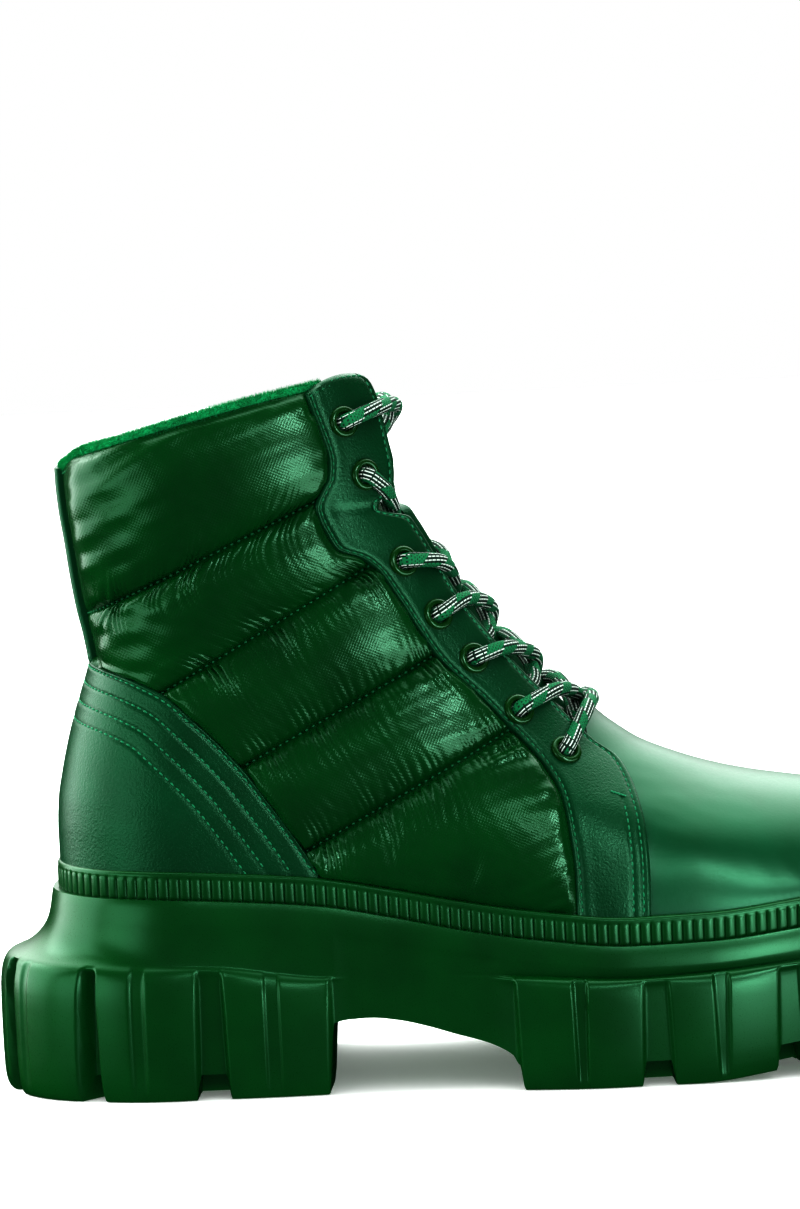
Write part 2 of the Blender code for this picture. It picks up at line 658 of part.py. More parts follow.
def make_outsole():
    """Moulded sole: rim, cove, lugs with notches and grooves, tread ring and recessed middle."""
    runs, share = sole_stations().T
    x = seat_x(runs)
    seat = seat_z(x)
    in_waist = (x > ARCH["x"][0]) & (x < ARCH["x"][-1]) & (share == 0)
    grooved = share == 0.5
    end_share = seat_normal_x(runs)
    flare = smooth(SOLE["x"], SOLE["flare"], x)
    end_flare = np.where(end_share < 0, HEEL_FLARE, TOE_FLARE)
    face = flare + (end_flare - flare) * end_share ** 2 - GROOVE_DEPTH * grooved
    band = RIM + RIM_DRAFT
    recess = band + NOTCH_SHARE * np.maximum(face - band, 0)
    recess = np.where(in_waist, RIM - WAIST_INSET, recess)
    on_lug = share > 0
    lug = np.where(on_lug, face, recess)
    lug_top = smooth(SOLE["x"], SOLE["lug_top"], x)
    ground = smooth(SOLE["x"], SOLE["ground"], x)
    arch = smooth(ARCH["x"], ARCH["height"], x)
    bottom = np.where(on_lug, ground, np.where(in_waist, arch, ground + NOTCH_HEIGHT))
    tall = lug_top - bottom
    cove = seat - RIM_BAND - lug_top
    even = np.ones_like(runs)
    profile = [(RIM * even, seat), (band * even, seat - RIM_BAND)]
    for out, drop in zip(COVE["out"], COVE["drop"]):
        profile.append((np.minimum(band + out * (face - band), lug), seat - RIM_BAND - drop * cove))
    profile += [
        (np.minimum(SHOULDER_OUT * face, lug), lug_top - SHOULDER_DROP * tall),
        (lug, lug_top - FACE_DROP * tall),
        (lug + LUG_BULGE * on_lug, lug_top - BULGE_DROP * tall),
        (lug - FOOT_ROUND, bottom + FOOT_ROUND_SHARE * tall),
        (lug - FOOT_BEVEL, bottom),
        (-TREAD_WIDTH * even, bottom),
        (-(TREAD_WIDTH + TREAD_DRAFT) * even, np.where(in_waist, arch, ground + TREAD_RECESS)),
    ]
    loops = [loop_points(runs, offset, height) for offset, height in profile]
    loop_solid("outsole", np.stack(loops), "rubber")


def make_welt():
    """Ring round the foot of the upper with upright ribs on its outer face."""
    pairs = int(round(OUTLINE_END / RIB_PITCH / 2))
    fine = np.linspace(0, OUTLINE_END, 4 * pairs + 1)
    coarse = fine[::4]
    ribs = np.where(np.arange(len(fine)) % 2 == 0, 0.0, RIB_DEPTH)
    outer = WELT_GAP + WELT_THICKNESS - ribs
    points = []
    for level in (GAP, GAP + WELT_HEIGHT):
        points.append(loop_points(fine, outer, seat_z(seat_x(fine)) + level))
        points.append(loop_points(coarse, WELT_GAP, seat_z(seat_x(coarse)) + level))
    many = len(points[0])
    few = len(points[1])
    outer_low, inner_low, outer_high, inner_high = 0, many, many + few, 2 * many + few
    faces = []
    for j in range(many):
        k = (j + 1) % many
        faces.append((outer_low + j, outer_low + k, outer_high + k, outer_high + j))
    for j in range(few):
        k = (j + 1) % few
        faces.append((inner_low + j, inner_high + j, inner_high + k, inner_low + k))
        for outer_first, inner_first in ((outer_low, inner_low), (outer_high, inner_high)):
            edge = [outer_first + (4 * j + step) % many for step in range(5)]
            faces.append((inner_first + k, inner_first + j, *edge))
    add_mesh("welt", np.concatenate(points), faces, "rubber")


def eyelet_seat(row, side):
    """Where an eyelet sits on its facing, and the direction it faces."""
    x = np.array(EYELETS["x"][row])
    z = np.array(EYELETS["z"][row])
    foot = skin(x, z, side, OVERLAY_TOP + EYELET_SEAT)
    out = skin(x, z, side, OVERLAY_TOP + EYELET_SEAT + 1.0) - foot
    return foot, out / np.linalg.norm(out)


def make_eyelets():
    """Pressed rings, one mesh shared by every eyelet."""
    segments = 8
    profile = ((EYELET_HOLE, 0), (EYELET_OUTER, 0), (EYELET_OUTER - 0.5, EYELET_HEIGHT),
               (EYELET_HOLE + 0.3, EYELET_HEIGHT))
    angles = np.linspace(0, 2 * np.pi, segments, endpoint=False)
    points = []
    for radius, height in profile:
        ring = np.stack((radius * np.cos(angles), radius * np.sin(angles), np.full(segments, height)), -1)
        points.append(ring)
    faces = []
    for i in range(len(profile)):
        for j in range(segments):
            a = i * segments + j
            b = i * segments + (j + 1) % segments
            step = segments if i < len(profile) - 1 else -segments * (len(profile) - 1)
            faces.append((a, b, b + step, a + step))
    shape = None
    for side_name, side in SIDES.items():
        for row in range(len(EYELETS["x"])):
            name = f"eyelet_{side_name}_{row + 1}"
            if shape is None:
                part = add_mesh(name, np.concatenate(points), faces, "enamel", centred=False)
                shape = part.data
            else:
                part = bpy.data.objects.new(name, shape)
                bpy.context.scene.collection.objects.link(part)
            foot, out = eyelet_seat(row, side)
            turn = Vector((0, 0, 1)).rotation_difference(Vector(out)).to_matrix().to_4x4()
            part.matrix_world = Matrix.Translation(Vector((foot - CENTRE) * MM)) @ turn


def smooth_path(points, steps):
    """Rounded path through a few points, read at even shares of its length."""
    points = np.array(points)
    share = np.linspace(0, 1, len(points))
    return np.stack([smooth(share, points[:, axis], np.linspace(0, 1, steps)) for axis in range(3)], -1)


def tube(path, radius):
    """Points and faces of a round cord along a path, its ends closed."""
    tangent = np.gradient(path, axis=0)
    tangent /= np.linalg.norm(tangent, axis=1, keepdims=True)
    level = np.cross(tangent, (0.3, 0.0, 1.0))
    level /= np.linalg.norm(level, axis=1, keepdims=True)
    upright = np.cross(level, tangent)
    angles = np.linspace(0, 2 * np.pi, LACE_SIDES, endpoint=False)
    around = np.cos(angles)[None, :, None] * level[:, None] + np.sin(angles)[None, :, None] * upright[:, None]
    points = (path[:, None] + radius * around).reshape(-1, 3)
    faces = []
    for i in range(len(path) - 1):
        for j in range(LACE_SIDES):
            a = i * LACE_SIDES + j
            b = i * LACE_SIDES + (j + 1) % LACE_SIDES
            faces.append((a, b, b + LACE_SIDES, a + LACE_SIDES))
    last = (len(path) - 1) * LACE_SIDES
    faces.append(tuple(range(LACE_SIDES)))
    faces.append(tuple(range(last, last + LACE_SIDES)))
    return points, faces


def row_z(row):
    """Height of a place between eyelet rows."""
    return np.interp(row, np.arange(len(EYELETS["z"])), EYELETS["z"])


def lace_foot(row, side):
    """Middle of the lace where it leaves the top of an eyelet."""
    foot, out = eyelet_seat(row, side)
    return foot + out * (EYELET_HEIGHT + 3 * GAP + LACE_RADIUS)


def lace_edge(x, z, side):
    """Middle of the lace where it passes over the edge of a facing."""
    return skin(np.array(x), np.array(z), side, OVERLAY_TOP + GAP + LACE_RADIUS + LACE_OVER)


def strand(row, side):
    """One strand: from on top of an eyelet, over the throat, to the other edge one row down."""
    edge_z = row_z(row + STRAND_ROWS["edge"]) + EYELET_TO_EDGE
    middle_z = row_z(row + STRAND_ROWS["middle"]) + EYELET_TO_RIDGE
    end_z = row_z(row + STRAND_ROWS["end"]) + EYELET_TO_RIDGE
    points = [lace_foot(row, side), lace_edge(throat_edge_x(edge_z), edge_z, side),
              ridge_point(middle_z, 0.0, -STRAND_RISE + STRAND_STAGGER * side),
              ridge_point(end_z, -side * STRAND_END_SIDE, STRAND_END_DEPTH)]
    return smooth_path(points, LACE_STEPS)


def make_laces():
    """Six crossings, each two strands joined where they meet, and the bar at the bottom."""
    for row in range(len(EYELETS["x"]) - 1):
        name = f"lace_cross_{row + 1}"
        cross = add_mesh(name, *tube(strand(row, LATERAL), LACE_RADIUS), "lace")
        other = add_mesh(name + "_other", *tube(strand(row, MEDIAL), LACE_RADIUS), "lace")
        other.hide_render = True
        other.display_type = "WIRE"
        union = cross.modifiers.new("join", "BOOLEAN")
        union.operation = "UNION"
        union.solver = "EXACT"
        union.object = other
    last = len(EYELETS["x"]) - 1
    path = [lace_foot(last, LATERAL), lace_edge(BAR_EDGE_X, BAR_EDGE_Z, LATERAL),
            ridge_point(BAR_MIDDLE_Z, 0.0, -BAR_RISE),
            lace_edge(BAR_EDGE_X, BAR_EDGE_Z, MEDIAL), lace_foot(last, MEDIAL)]
    add_mesh("lace_bar", *tube(smooth_path(path, 2 * LACE_STEPS - 3), LACE_RADIUS), "lace")


def main():
    for thing in list(bpy.data.objects):
        bpy.data.objects.remove(thing, do_unlink=True)
    make_outsole()
    make_welt()
    make_insole()
    make_upper()
    make_tongue()
    make_counter()
    make_backstay()
    for side_name in SIDES:
        make_eyestay(side_name)
    make_eyelets()
    make_laces()


main()
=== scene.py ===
# %% [markdown]
# # Puffer boot
# A winter boot for the right foot, seen from its lateral side. Quilted nylon quarters and a smooth vamp are
# sewn to leather trim: a heel counter, a backstay and two lace facings. A ribbed welt joins them to a deep
# lugged sole, a plush lining rolls over the collar, and a round braided lace runs through enamelled eyelets.
#
# Everything is worked out in millimetres: x from heel to toe, y from the lateral side (negative) to the
# medial side, z up from the floor. The side view carries the shape. A piece is first a grid of side-view
# points, and one surface function then gives every point its place on the foot.

# %% Frame
import bmesh
import bpy
import numpy as np
from mathutils import Matrix, Quaternion, Vector


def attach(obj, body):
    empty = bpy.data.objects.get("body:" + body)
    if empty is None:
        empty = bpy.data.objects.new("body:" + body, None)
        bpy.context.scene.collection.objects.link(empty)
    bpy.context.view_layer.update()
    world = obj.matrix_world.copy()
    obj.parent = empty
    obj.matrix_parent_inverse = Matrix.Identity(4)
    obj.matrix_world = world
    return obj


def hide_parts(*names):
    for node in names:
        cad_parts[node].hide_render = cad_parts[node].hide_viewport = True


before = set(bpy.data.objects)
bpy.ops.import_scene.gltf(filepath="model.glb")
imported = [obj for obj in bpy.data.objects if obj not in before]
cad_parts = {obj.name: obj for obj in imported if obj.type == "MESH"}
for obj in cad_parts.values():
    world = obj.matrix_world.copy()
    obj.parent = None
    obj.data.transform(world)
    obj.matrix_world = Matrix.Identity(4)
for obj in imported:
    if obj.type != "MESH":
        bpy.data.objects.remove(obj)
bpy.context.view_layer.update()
scene = bpy.context.scene
MM = 0.001
# Points closer than this, in metres, become one
WELD = 2e-6
LATERAL, MEDIAL = -1, 1
SIDES = {"lateral": LATERAL, "medial": MEDIAL}
print("frame:", len(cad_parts), "nodes")

# %% [markdown]
# ## The foot that all pieces share
# These are the part's own sizes and tables. The heel line, the ridge line and the seat bound the upper in
# the side view. Its half-width is the width of the foot there, times a rounding at the heel, at the toe and
# at the ridge, each a quarter of a superellipse. A table and a monotone cubic through its rows hold every
# curve.

# %% Sizes and tables
UPPER_HEEL = 19.7
UPPER_LENGTH = 256.8
UPPER_TOE = UPPER_HEEL + UPPER_LENGTH
COLLAR_BACK = 175.5
COLLAR_FRONT = {LATERAL: 193.0, MEDIAL: 186.5}
COLLAR_CAMBER = {LATERAL: 1.5, MEDIAL: -0.5}
COLLAR_DIP, DIP_REACH = 2.2, 5.0
ANKLE_HEIGHT, ANKLE_HALF_WIDTH = 115.0, 32.5
COLLAR_HEIGHT, COLLAR_HALF_WIDTH = 190.0, 36.5
TOE_SWING, SWING_START = 5.0, 140.0
HEEL_REACH, TOE_REACH, RIDGE_REACH = 36.0, 72.0, 50.0
SQUARE = 2.2
REACH_BLEND = 4
TOE_ALLOWANCE = 0.2
QUILT_SLOPE = np.radians(27.0)
SEAT_GAP = 0.3
WALL = 2.6
OVERLAY_TOP = 2.2
WELT_HEIGHT, WELT_GAP = 7.2, 0.6
HEEL_FLARE, TOE_FLARE = 21.2, 13.0


def table(names, *rows):
    """A table with named columns: each column becomes an array under its name."""
    return dict(zip(names.split(), np.array(rows, float).T))


SEAT = table("x height lateral medial",
             (18, 56.0, 34.0, 34.0), (45, 55.3, 35.0, 35.0), (70, 53.7, 36.0, 34.5),
             (90, 51.8, 37.0, 33.5), (110, 48.0, 38.5, 33.0), (130, 43.9, 42.0, 35.0),
             (150, 40.8, 46.0, 39.0), (175, 38.4, 49.5, 44.5), (195, 38.6, 49.8, 47.3),
             (222, 40.9, 48.0, 47.5), (250, 43.5, 46.0, 46.5), (277, 47.0, 44.0, 45.0))
HEEL_LINE = table("z x",
                  (55, 19.7), (66, 19.4), (72, 19.4), (80, 19.9), (88, 21.4), (97, 23.6), (105, 26.0),
                  (111, 28.1), (118.5, 30.2), (126, 29.3), (134, 27.7), (143, 26.4), (153, 25.3),
                  (163, 24.1), (170, 23.7), (180, 23.6))
RIDGE = table("z x",
              (40, 276.7), (47, 276.5), (52, 275.8), (58, 273.2), (63, 268.3), (67, 260), (70.3, 248),
              (72.9, 237), (75.1, 226), (77.3, 214.7), (80.1, 203.5), (83.8, 192.4), (88.6, 181.4),
              (92.2, 176), (96.6, 170.5), (102.8, 164.5), (109.5, 158), (117.5, 151.5), (127, 143.7),
              (138.5, 135.5), (149, 128.7), (157, 124.5), (164, 122), (170, 121), (176.5, 120),
              (184, 118), (191, 115.5), (198, 112.5), (226, 104), (560, 20))
THROAT = table("z setback",
               (40, 0.0), (97, 0.0), (101, 4.5), (107, 8.5), (113, 9.3), (125, 9.5), (135, 8.3),
               (147, 7.2), (152, 7.4), (157, 12.5), (160, 13.5), (163.5, 8.3), (168, 7.2), (200, 7.0))
EYELETS = table("x z",
                (101.8, 183.1), (106.9, 168.5), (116.4, 143.6), (125.2, 128.4), (134.6, 115.7),
                (146.4, 100.7), (158.9, 88.7))


# %% Curves
def row_slopes(rise):
    """Slopes of a monotone cubic at its rows: harmonic mean of the rises beside a row, 0 at a turn."""
    same = rise[:-1] * rise[1:] > 0
    mean = 2 * rise[:-1] * rise[1:] / np.where(same, rise[:-1] + rise[1:], 1)
    return np.concatenate((rise[:1], np.where(same, mean, 0), rise[-1:]))


def smooth(xs, ys, x):
    """Monotone cubic curve through the rows of a table, held level beyond its ends."""
    x = np.clip(np.asarray(x, float), xs[0], xs[-1])
    step = np.diff(xs)
    slope = row_slopes(np.diff(ys) / step)
    i = np.clip(np.searchsorted(xs, x, side="right") - 1, 0, len(step) - 1)
    t = (x - xs[i]) / step[i]
    start = (1 + 2 * t) * (1 - t) ** 2 * ys[i] + t * (1 - t) ** 2 * step[i] * slope[i]
    end = t ** 2 * (3 - 2 * t) * ys[i + 1] + t ** 2 * (t - 1) * step[i] * slope[i + 1]
    return start + end


def ease(t):
    """Soft step from 0 to 1."""
    t = np.clip(t, 0, 1)
    return t * t * (3 - 2 * t)


def bell(t):
    """Bell curve: e to the minus t squared, 1 in its middle."""
    return np.exp(-t ** 2)


def cosine_steps(count):
    """Shares from 0 to 1, closer together at both ends: half a cosine wave."""
    return (1 - np.cos(np.linspace(0, np.pi, count))) / 2


# %% Lines of the side view
RIDGE_Z = np.linspace(RIDGE["z"][0], RIDGE["z"][-1], 4000)
RIDGE_X = smooth(RIDGE["z"], RIDGE["x"], RIDGE_Z)


def ridge_x(z):
    """Place of the ridge line along the foot at a height."""
    return np.interp(z, RIDGE_Z, RIDGE_X)


def ridge_z(x):
    """Height of the ridge line at a place along the foot."""
    return np.interp(x, RIDGE_X[::-1], RIDGE_Z[::-1])


def heel_x(z):
    """Place of the heel line at a height."""
    return smooth(HEEL_LINE["z"], HEEL_LINE["x"], z)


def seat_z(x):
    """Height of the seat, where the upper meets the sole."""
    return smooth(SEAT["x"], SEAT["height"], x)


def throat_edge_x(z):
    """Front edge of a facing: the ridge line less the throat's setback."""
    return ridge_x(z) - smooth(THROAT["z"], THROAT["setback"], z)


# %% Skin of the upper
def swing(x):
    """Middle line of the foot, which bends to the medial side towards the toe."""
    return TOE_SWING * ease((x - SWING_START) / (UPPER_TOE - SWING_START))


def rounding(t):
    """1 - (1 - t)^SQUARE: a superellipse quarter to the power SQUARE, running on below 0 past its edge."""
    return 1 - (1 - np.minimum(t, 1)) ** SQUARE


def width_power(x, z, side):
    """Half-width of the upper to the power SQUARE: foot width times the heel, toe and ridge roundings.

    As a power it passes smoothly through 0 on the heel line and the ridge, so normals are sound there.
    """
    seat = seat_z(x)
    widths = (smooth(SEAT["x"], SEAT["lateral"], x), smooth(SEAT["x"], SEAT["medial"], x))
    foot = np.where(side == LATERAL, *widths)
    body = foot + (ANKLE_HALF_WIDTH - foot) * ease((z - seat) / (ANKLE_HEIGHT - seat))
    shaft = ease((z - ANKLE_HEIGHT) / (COLLAR_HEIGHT - ANKLE_HEIGHT))
    body = body + (COLLAR_HALF_WIDTH - ANKLE_HALF_WIDTH) * shaft
    ahead = ridge_x(z) - x
    above = ridge_z(x) - z
    across = np.cos(QUILT_SLOPE) * above + np.sin(QUILT_SLOPE) * ahead
    to_ridge = ahead * above / np.where(np.abs(across) < 1e-9, 1e-9, across)
    to_welt = np.maximum(z - seat - WELT_HEIGHT, 0) / np.sin(QUILT_SLOPE)
    reach = (np.maximum(to_ridge, 0) + to_welt + 1e-6) ** -REACH_BLEND + RIDGE_REACH ** -REACH_BLEND
    heel = rounding((x - heel_x(z)) / HEEL_REACH)
    toe = rounding((UPPER_TOE + TOE_ALLOWANCE - x) / TOE_REACH)
    return body ** SQUARE * heel * toe * rounding(to_ridge * reach ** (1 / REACH_BLEND))


def half_width(x, z, side):
    """Half-width of the upper: width_power with its power taken off."""
    return np.maximum(width_power(x, z, side), 0) ** (1 / SQUARE)


def skin_normal(x, z, side):
    """Outward normal: the gradient of |y - swing|^SQUARE - width_power, by central differences."""
    delta = 0.02
    along = (width_power(x + delta, z, side) - width_power(x - delta, z, side)) / (2 * delta)
    up = (width_power(x, z + delta, side) - width_power(x, z - delta, side)) / (2 * delta)
    bend = (swing(x + delta) - swing(x - delta)) / (2 * delta)
    steep = SQUARE * half_width(x, z, side) ** (SQUARE - 1)
    normal = np.stack((-along - steep * side * bend, side * steep, -up), axis=-1)
    return normal / np.linalg.norm(normal, axis=-1, keepdims=True)


def skin(x, z, side, lift):
    """Point of the upper's surface over a side-view point, lifted along the normal."""
    x, z, lift = np.broadcast_arrays(np.asarray(x, float), z, lift)
    point = np.stack((x, swing(x) + side * half_width(x, z, side), z), axis=-1)
    return point + skin_normal(x, z, side) * lift[..., None]


# %% Collar and ridge
def collar_dip(x, z):
    """How far the collar sinks at the back seam, fading out forwards."""
    return COLLAR_DIP * (1 - ease((x - heel_x(z)) / DIP_REACH))


def ridge_point(z, y, depth):
    """Point at a depth under the ridge line, moved sideways from the middle of the foot."""
    delta = 0.5
    z, y, depth = np.broadcast_arrays(np.asarray(z, float), y, depth)
    along_x = ridge_x(z + delta) - ridge_x(z - delta)
    length = np.hypot(along_x, 2 * delta)
    x = ridge_x(z) - 2 * delta / length * depth
    return np.stack((x, swing(x) + y, z + along_x / length * depth), axis=-1)


# %% Seat outline
OUTLINE_STEPS = 1500
OUTLINE_X = UPPER_HEEL + UPPER_LENGTH * cosine_steps(OUTLINE_STEPS)


def side_outline(side):
    """Plan outline of one side at the seat, with its outward plan normals."""
    y = swing(OUTLINE_X) + side * half_width(OUTLINE_X, seat_z(OUTLINE_X) + SEAT_GAP, side)
    y[0] = swing(OUTLINE_X[0])
    y[-1] = swing(OUTLINE_X[-1])
    tangent = np.stack((np.gradient(OUTLINE_X), np.gradient(y)))
    tangent /= np.linalg.norm(tangent, axis=0)
    normal = np.stack((side * -tangent[1], side * tangent[0]))
    normal[:, 0] = (-1, 0)
    normal[:, -1] = (1, 0)
    return y, normal


OUTLINE = {side: side_outline(side) for side in SIDES.values()}
OUTLINE_RUN = np.concatenate(([0], np.cumsum(np.hypot(np.diff(OUTLINE_X), np.diff(OUTLINE[LATERAL][0])))))
OUTLINE_END = OUTLINE_RUN[-1]
CENTRE = np.array(((UPPER_HEEL - HEEL_FLARE + UPPER_TOE + TOE_FLARE) / 2,
                   (OUTLINE[LATERAL][0].min() + OUTLINE[MEDIAL][0].max()) / 2, 0.0))


def seat_x(run):
    """Place along the foot at a length round the seat outline."""
    return np.interp(run, OUTLINE_RUN, OUTLINE_X)


def loop_points(runs, offset, height):
    """Closed loop round the foot at an offset: the lateral side from heel to toe, then the medial back."""
    halves = []
    for side in SIDES.values():
        y, normal = OUTLINE[side]
        nx = np.interp(runs, OUTLINE_RUN, normal[0])
        ny = np.interp(runs, OUTLINE_RUN, normal[1])
        size = np.hypot(nx, ny)
        plan = (seat_x(runs) + nx / size * offset, np.interp(runs, OUTLINE_RUN, y) + ny / size * offset)
        halves.append(np.stack(np.broadcast_arrays(*plan, height), axis=-1))
    return np.concatenate((halves[0], halves[1][-2:0:-1]))


print("seat outline of one side:", round(float(OUTLINE_END), 1), "mm; middle at", CENTRE.round(2))

# %% [markdown]
# ## Tools for making pieces
# A piece is a grid of points. A grid can be wrapped into a tube or ring, or doubled into a slab with a rim
# round it. Rows are spread evenly by their length on the surface, so that cloth and grain aren't stretched
# where the side view is seen edge on.


# %% Grids
def grid_quads(rows, columns, wrap_rows=False, wrap_columns=False):
    """Corner numbers of the four-sided faces of a grid; a wrapped direction joins its end to its start."""
    i = np.arange(rows if wrap_rows else rows - 1)[:, None]
    j = np.arange(columns if wrap_columns else columns - 1)[None, :]
    near, far = i * columns, (i + 1) % rows * columns
    left, right = j, (j + 1) % columns
    return np.stack((near + left, near + right, far + right, far + left), axis=-1).reshape(-1, 4)


def slab(outer, inner):
    """Closed solid between two grids of the same size: both faces and the rim round them."""
    rows, columns = outer.shape[:2]
    count = rows * columns
    index = np.arange(count).reshape(rows, columns)
    border = np.concatenate((index[0, :-1], index[:-1, -1], index[-1, :0:-1], index[:0:-1, 0]))
    following = np.roll(border, -1)
    front = grid_quads(rows, columns)
    rim = np.stack((following, border, border + count, following + count), axis=-1)
    points = np.concatenate((outer.reshape(-1, 3), inner.reshape(-1, 3)))
    return points, np.concatenate((front, front[:, ::-1] + count, rim))


def join(parts):
    """One list of points and faces from several."""
    points, faces, first = [], [], 0
    for part_points, part_faces in parts:
        points.append(part_points)
        faces.append(part_faces + first)
        first += len(part_points)
    return np.concatenate(points), np.concatenate(faces)


def capped(loops):
    """Solid from a stack of closed loops, both its ends closed by strips from side to side."""
    rows, count = loops.shape[:2]
    k = np.arange(count // 2)
    cap = np.stack((k, k + 1, (count - k - 1) % count, (count - k) % count), axis=-1)
    wall = grid_quads(rows, count, wrap_columns=True)
    return loops.reshape(-1, 3), np.concatenate((wall, cap, cap + (rows - 1) * count))


def round_heel(halves):
    """Both faces of a sheet round the heel: the lateral half turned round, then the medial half."""
    return [np.concatenate((near[:, ::-1], far[:, 1:]), axis=1) for near, far in zip(*halves)]


# %% Pieces
def add_piece(name, shape, material, nodes=(), uv=None, sharp=60, closed=True, weld=True):
    """Mesh object from points in millimetres and faces; a face that names a corner twice is a triangle.

    Coincident points are welded where asked, and a closed piece has its faces turned out.
    """
    points, faces = shape
    mesh = bpy.data.meshes.new(name)
    corners = [list(dict.fromkeys(face)) for face in faces.tolist()]
    mesh.from_pydata(((points - CENTRE) * MM).tolist(), [], corners)
    if uv is not None:
        corner_uv = uv[faces.ravel()].astype(np.float32).ravel()
        mesh.uv_layers.new(name="UVMap").uv.foreach_set("vector", corner_uv)
    work = bmesh.new()
    work.from_mesh(mesh)
    if weld:
        bmesh.ops.remove_doubles(work, verts=work.verts, dist=WELD)
    if closed:
        bmesh.ops.recalc_face_normals(work, faces=work.faces)
    work.to_mesh(mesh)
    work.free()
    mesh.shade_smooth()
    mesh.set_sharp_from_angle(angle=np.radians(sharp))
    piece = bpy.data.objects.new(name, mesh)
    mesh.materials.append(material)
    scene.collection.objects.link(piece)
    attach(piece, "root")
    if nodes:
        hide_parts(*nodes)
    print(f"{name}: {sum(len(face.vertices) - 2 for face in mesh.polygons)} triangles")
    return piece


# %% Rows, finer grids and waves
LINE_STEPS = 241


def even_rows(back, front, columns, side, camber=0.0):
    """Side-view grid of lines from back to front points, even by length on the surface along each line."""
    fine = cosine_steps(LINE_STEPS)
    x = back[0][:, None] + (front[0] - back[0])[:, None] * fine
    z = back[1][:, None] + (front[1] - back[1])[:, None] * fine
    steps = np.diff(np.stack((x, half_width(x, z, side), z)), axis=2)
    runs = np.cumsum(np.linalg.norm(steps, axis=0), axis=1)
    even = np.linspace(0, 1, columns)
    share = np.stack([np.interp(even, np.append(0, run) / max(run[-1], 1e-9), fine) for run in runs])
    x = back[0][:, None] + (front[0] - back[0])[:, None] * share
    z = back[1][:, None] + (front[1] - back[1])[:, None] * share
    return x, z + np.reshape(camber, (-1, 1)) * 4 * share * (1 - share)


def grid_run(points, axis):
    """Length along one direction of a grid, from its first line."""
    steps = np.linalg.norm(np.diff(points, axis=axis), axis=-1)
    return np.insert(np.cumsum(steps, axis=axis), 0, 0, axis=axis)


def finer(points, *places):
    """The same surface read at other rows and columns, by Catmull-Rom splines along both directions."""
    for axis, t in enumerate(places):
        size = points.shape[axis]
        i = np.clip(t.astype(int), 0, size - 2)
        u = t - i
        weights = np.stack((-u + 2 * u ** 2 - u ** 3, 2 - 5 * u ** 2 + 3 * u ** 3,
                            u + 4 * u ** 2 - 3 * u ** 3, u ** 3 - u ** 2)) / 2
        matrix = np.zeros((len(t), size))
        for step, weight in zip((-1, 0, 1, 2), weights):
            np.add.at(matrix, (np.arange(len(t)), np.clip(i + step, 0, size - 1)), weight)
        points = np.moveaxis(np.tensordot(matrix, points, (1, axis)), 0, axis)
    return points


def crowd(t):
    """Shares from 0 to 1 moved closer to both ends."""
    return t - 0.8 * np.sin(2 * np.pi * t) / (2 * np.pi)


def ripple(x, z, length, seed, angle=0.0, stretch=1.0, waves=14):
    """Irregular soft waves of about a given length: a sum of sines with seeded directions and phases."""
    rng = np.random.default_rng(seed)
    a = x * np.cos(angle) + z * np.sin(angle)
    b = (z * np.cos(angle) - x * np.sin(angle)) / stretch
    total = np.zeros(np.broadcast(x, z).shape)
    for turn, phase, size in zip(rng.uniform(-0.7, 0.7, waves), rng.uniform(0, 2 * np.pi, waves),
                                 rng.uniform(0.7, 1.5, waves)):
        total += np.sin(2 * np.pi / (length * size) * (a * np.cos(turn) + b * np.sin(turn)) + phase)
    return total / np.sqrt(waves / 2)


# %% [markdown]
# ## Materials
# One green runs through the boot, and the materials differ in how they take the light. Colours are given as
# they look on a screen and turned to linear light. Grain sizes are real millimetres on object coordinates.


# %% Material tools
def linear(code):
    """Linear colour from a hex screen colour."""
    channels = np.array([int(code[i:i + 2], 16) for i in (1, 3, 5)]) / 255
    channels = np.where(channels <= 0.04045, channels / 12.92, ((channels + 0.055) / 1.055) ** 2.4)
    return (*channels.tolist(), 1.0)


def add_node(tree, kind, inputs=None, **settings):
    """A shader node with its settings; an input is a value for the socket or the output that feeds it."""
    made = tree.nodes.new(kind)
    for key, value in settings.items():
        setattr(made, key, value)
    for socket, value in (inputs or {}).items():
        if isinstance(value, bpy.types.NodeSocket):
            tree.links.new(value, made.inputs[socket])
        else:
            made.inputs[socket].default_value = value
    return made


GREEN_SHEEN = "#A8FFD8"


def new_material(name, **inputs):
    """A Principled material, its node tree and its shader node; its lights take on some of the green."""
    material = bpy.data.materials.new(name)
    material.use_nodes = True
    tree = material.node_tree
    shader = tree.nodes["Principled BSDF"]
    shader.inputs["Specular Tint"].default_value = linear(GREEN_SHEEN)
    for socket, value in inputs.items():
        shader.inputs[socket.replace("_", " ")].default_value = value
    return material, tree, shader


# %% Grained surfaces
WEAVE_TURN = np.radians(-24)
# Length of the waves that a wave texture of scale 1 has
WAVE_UNIT = np.pi / 10
COLOUR_EDGES = (0.3, 0.7)
GLOSS_SPREAD = 0.06


def per_mm(size):
    """Texture scale that gives features of a size in millimetres."""
    return 1 / (size * MM)


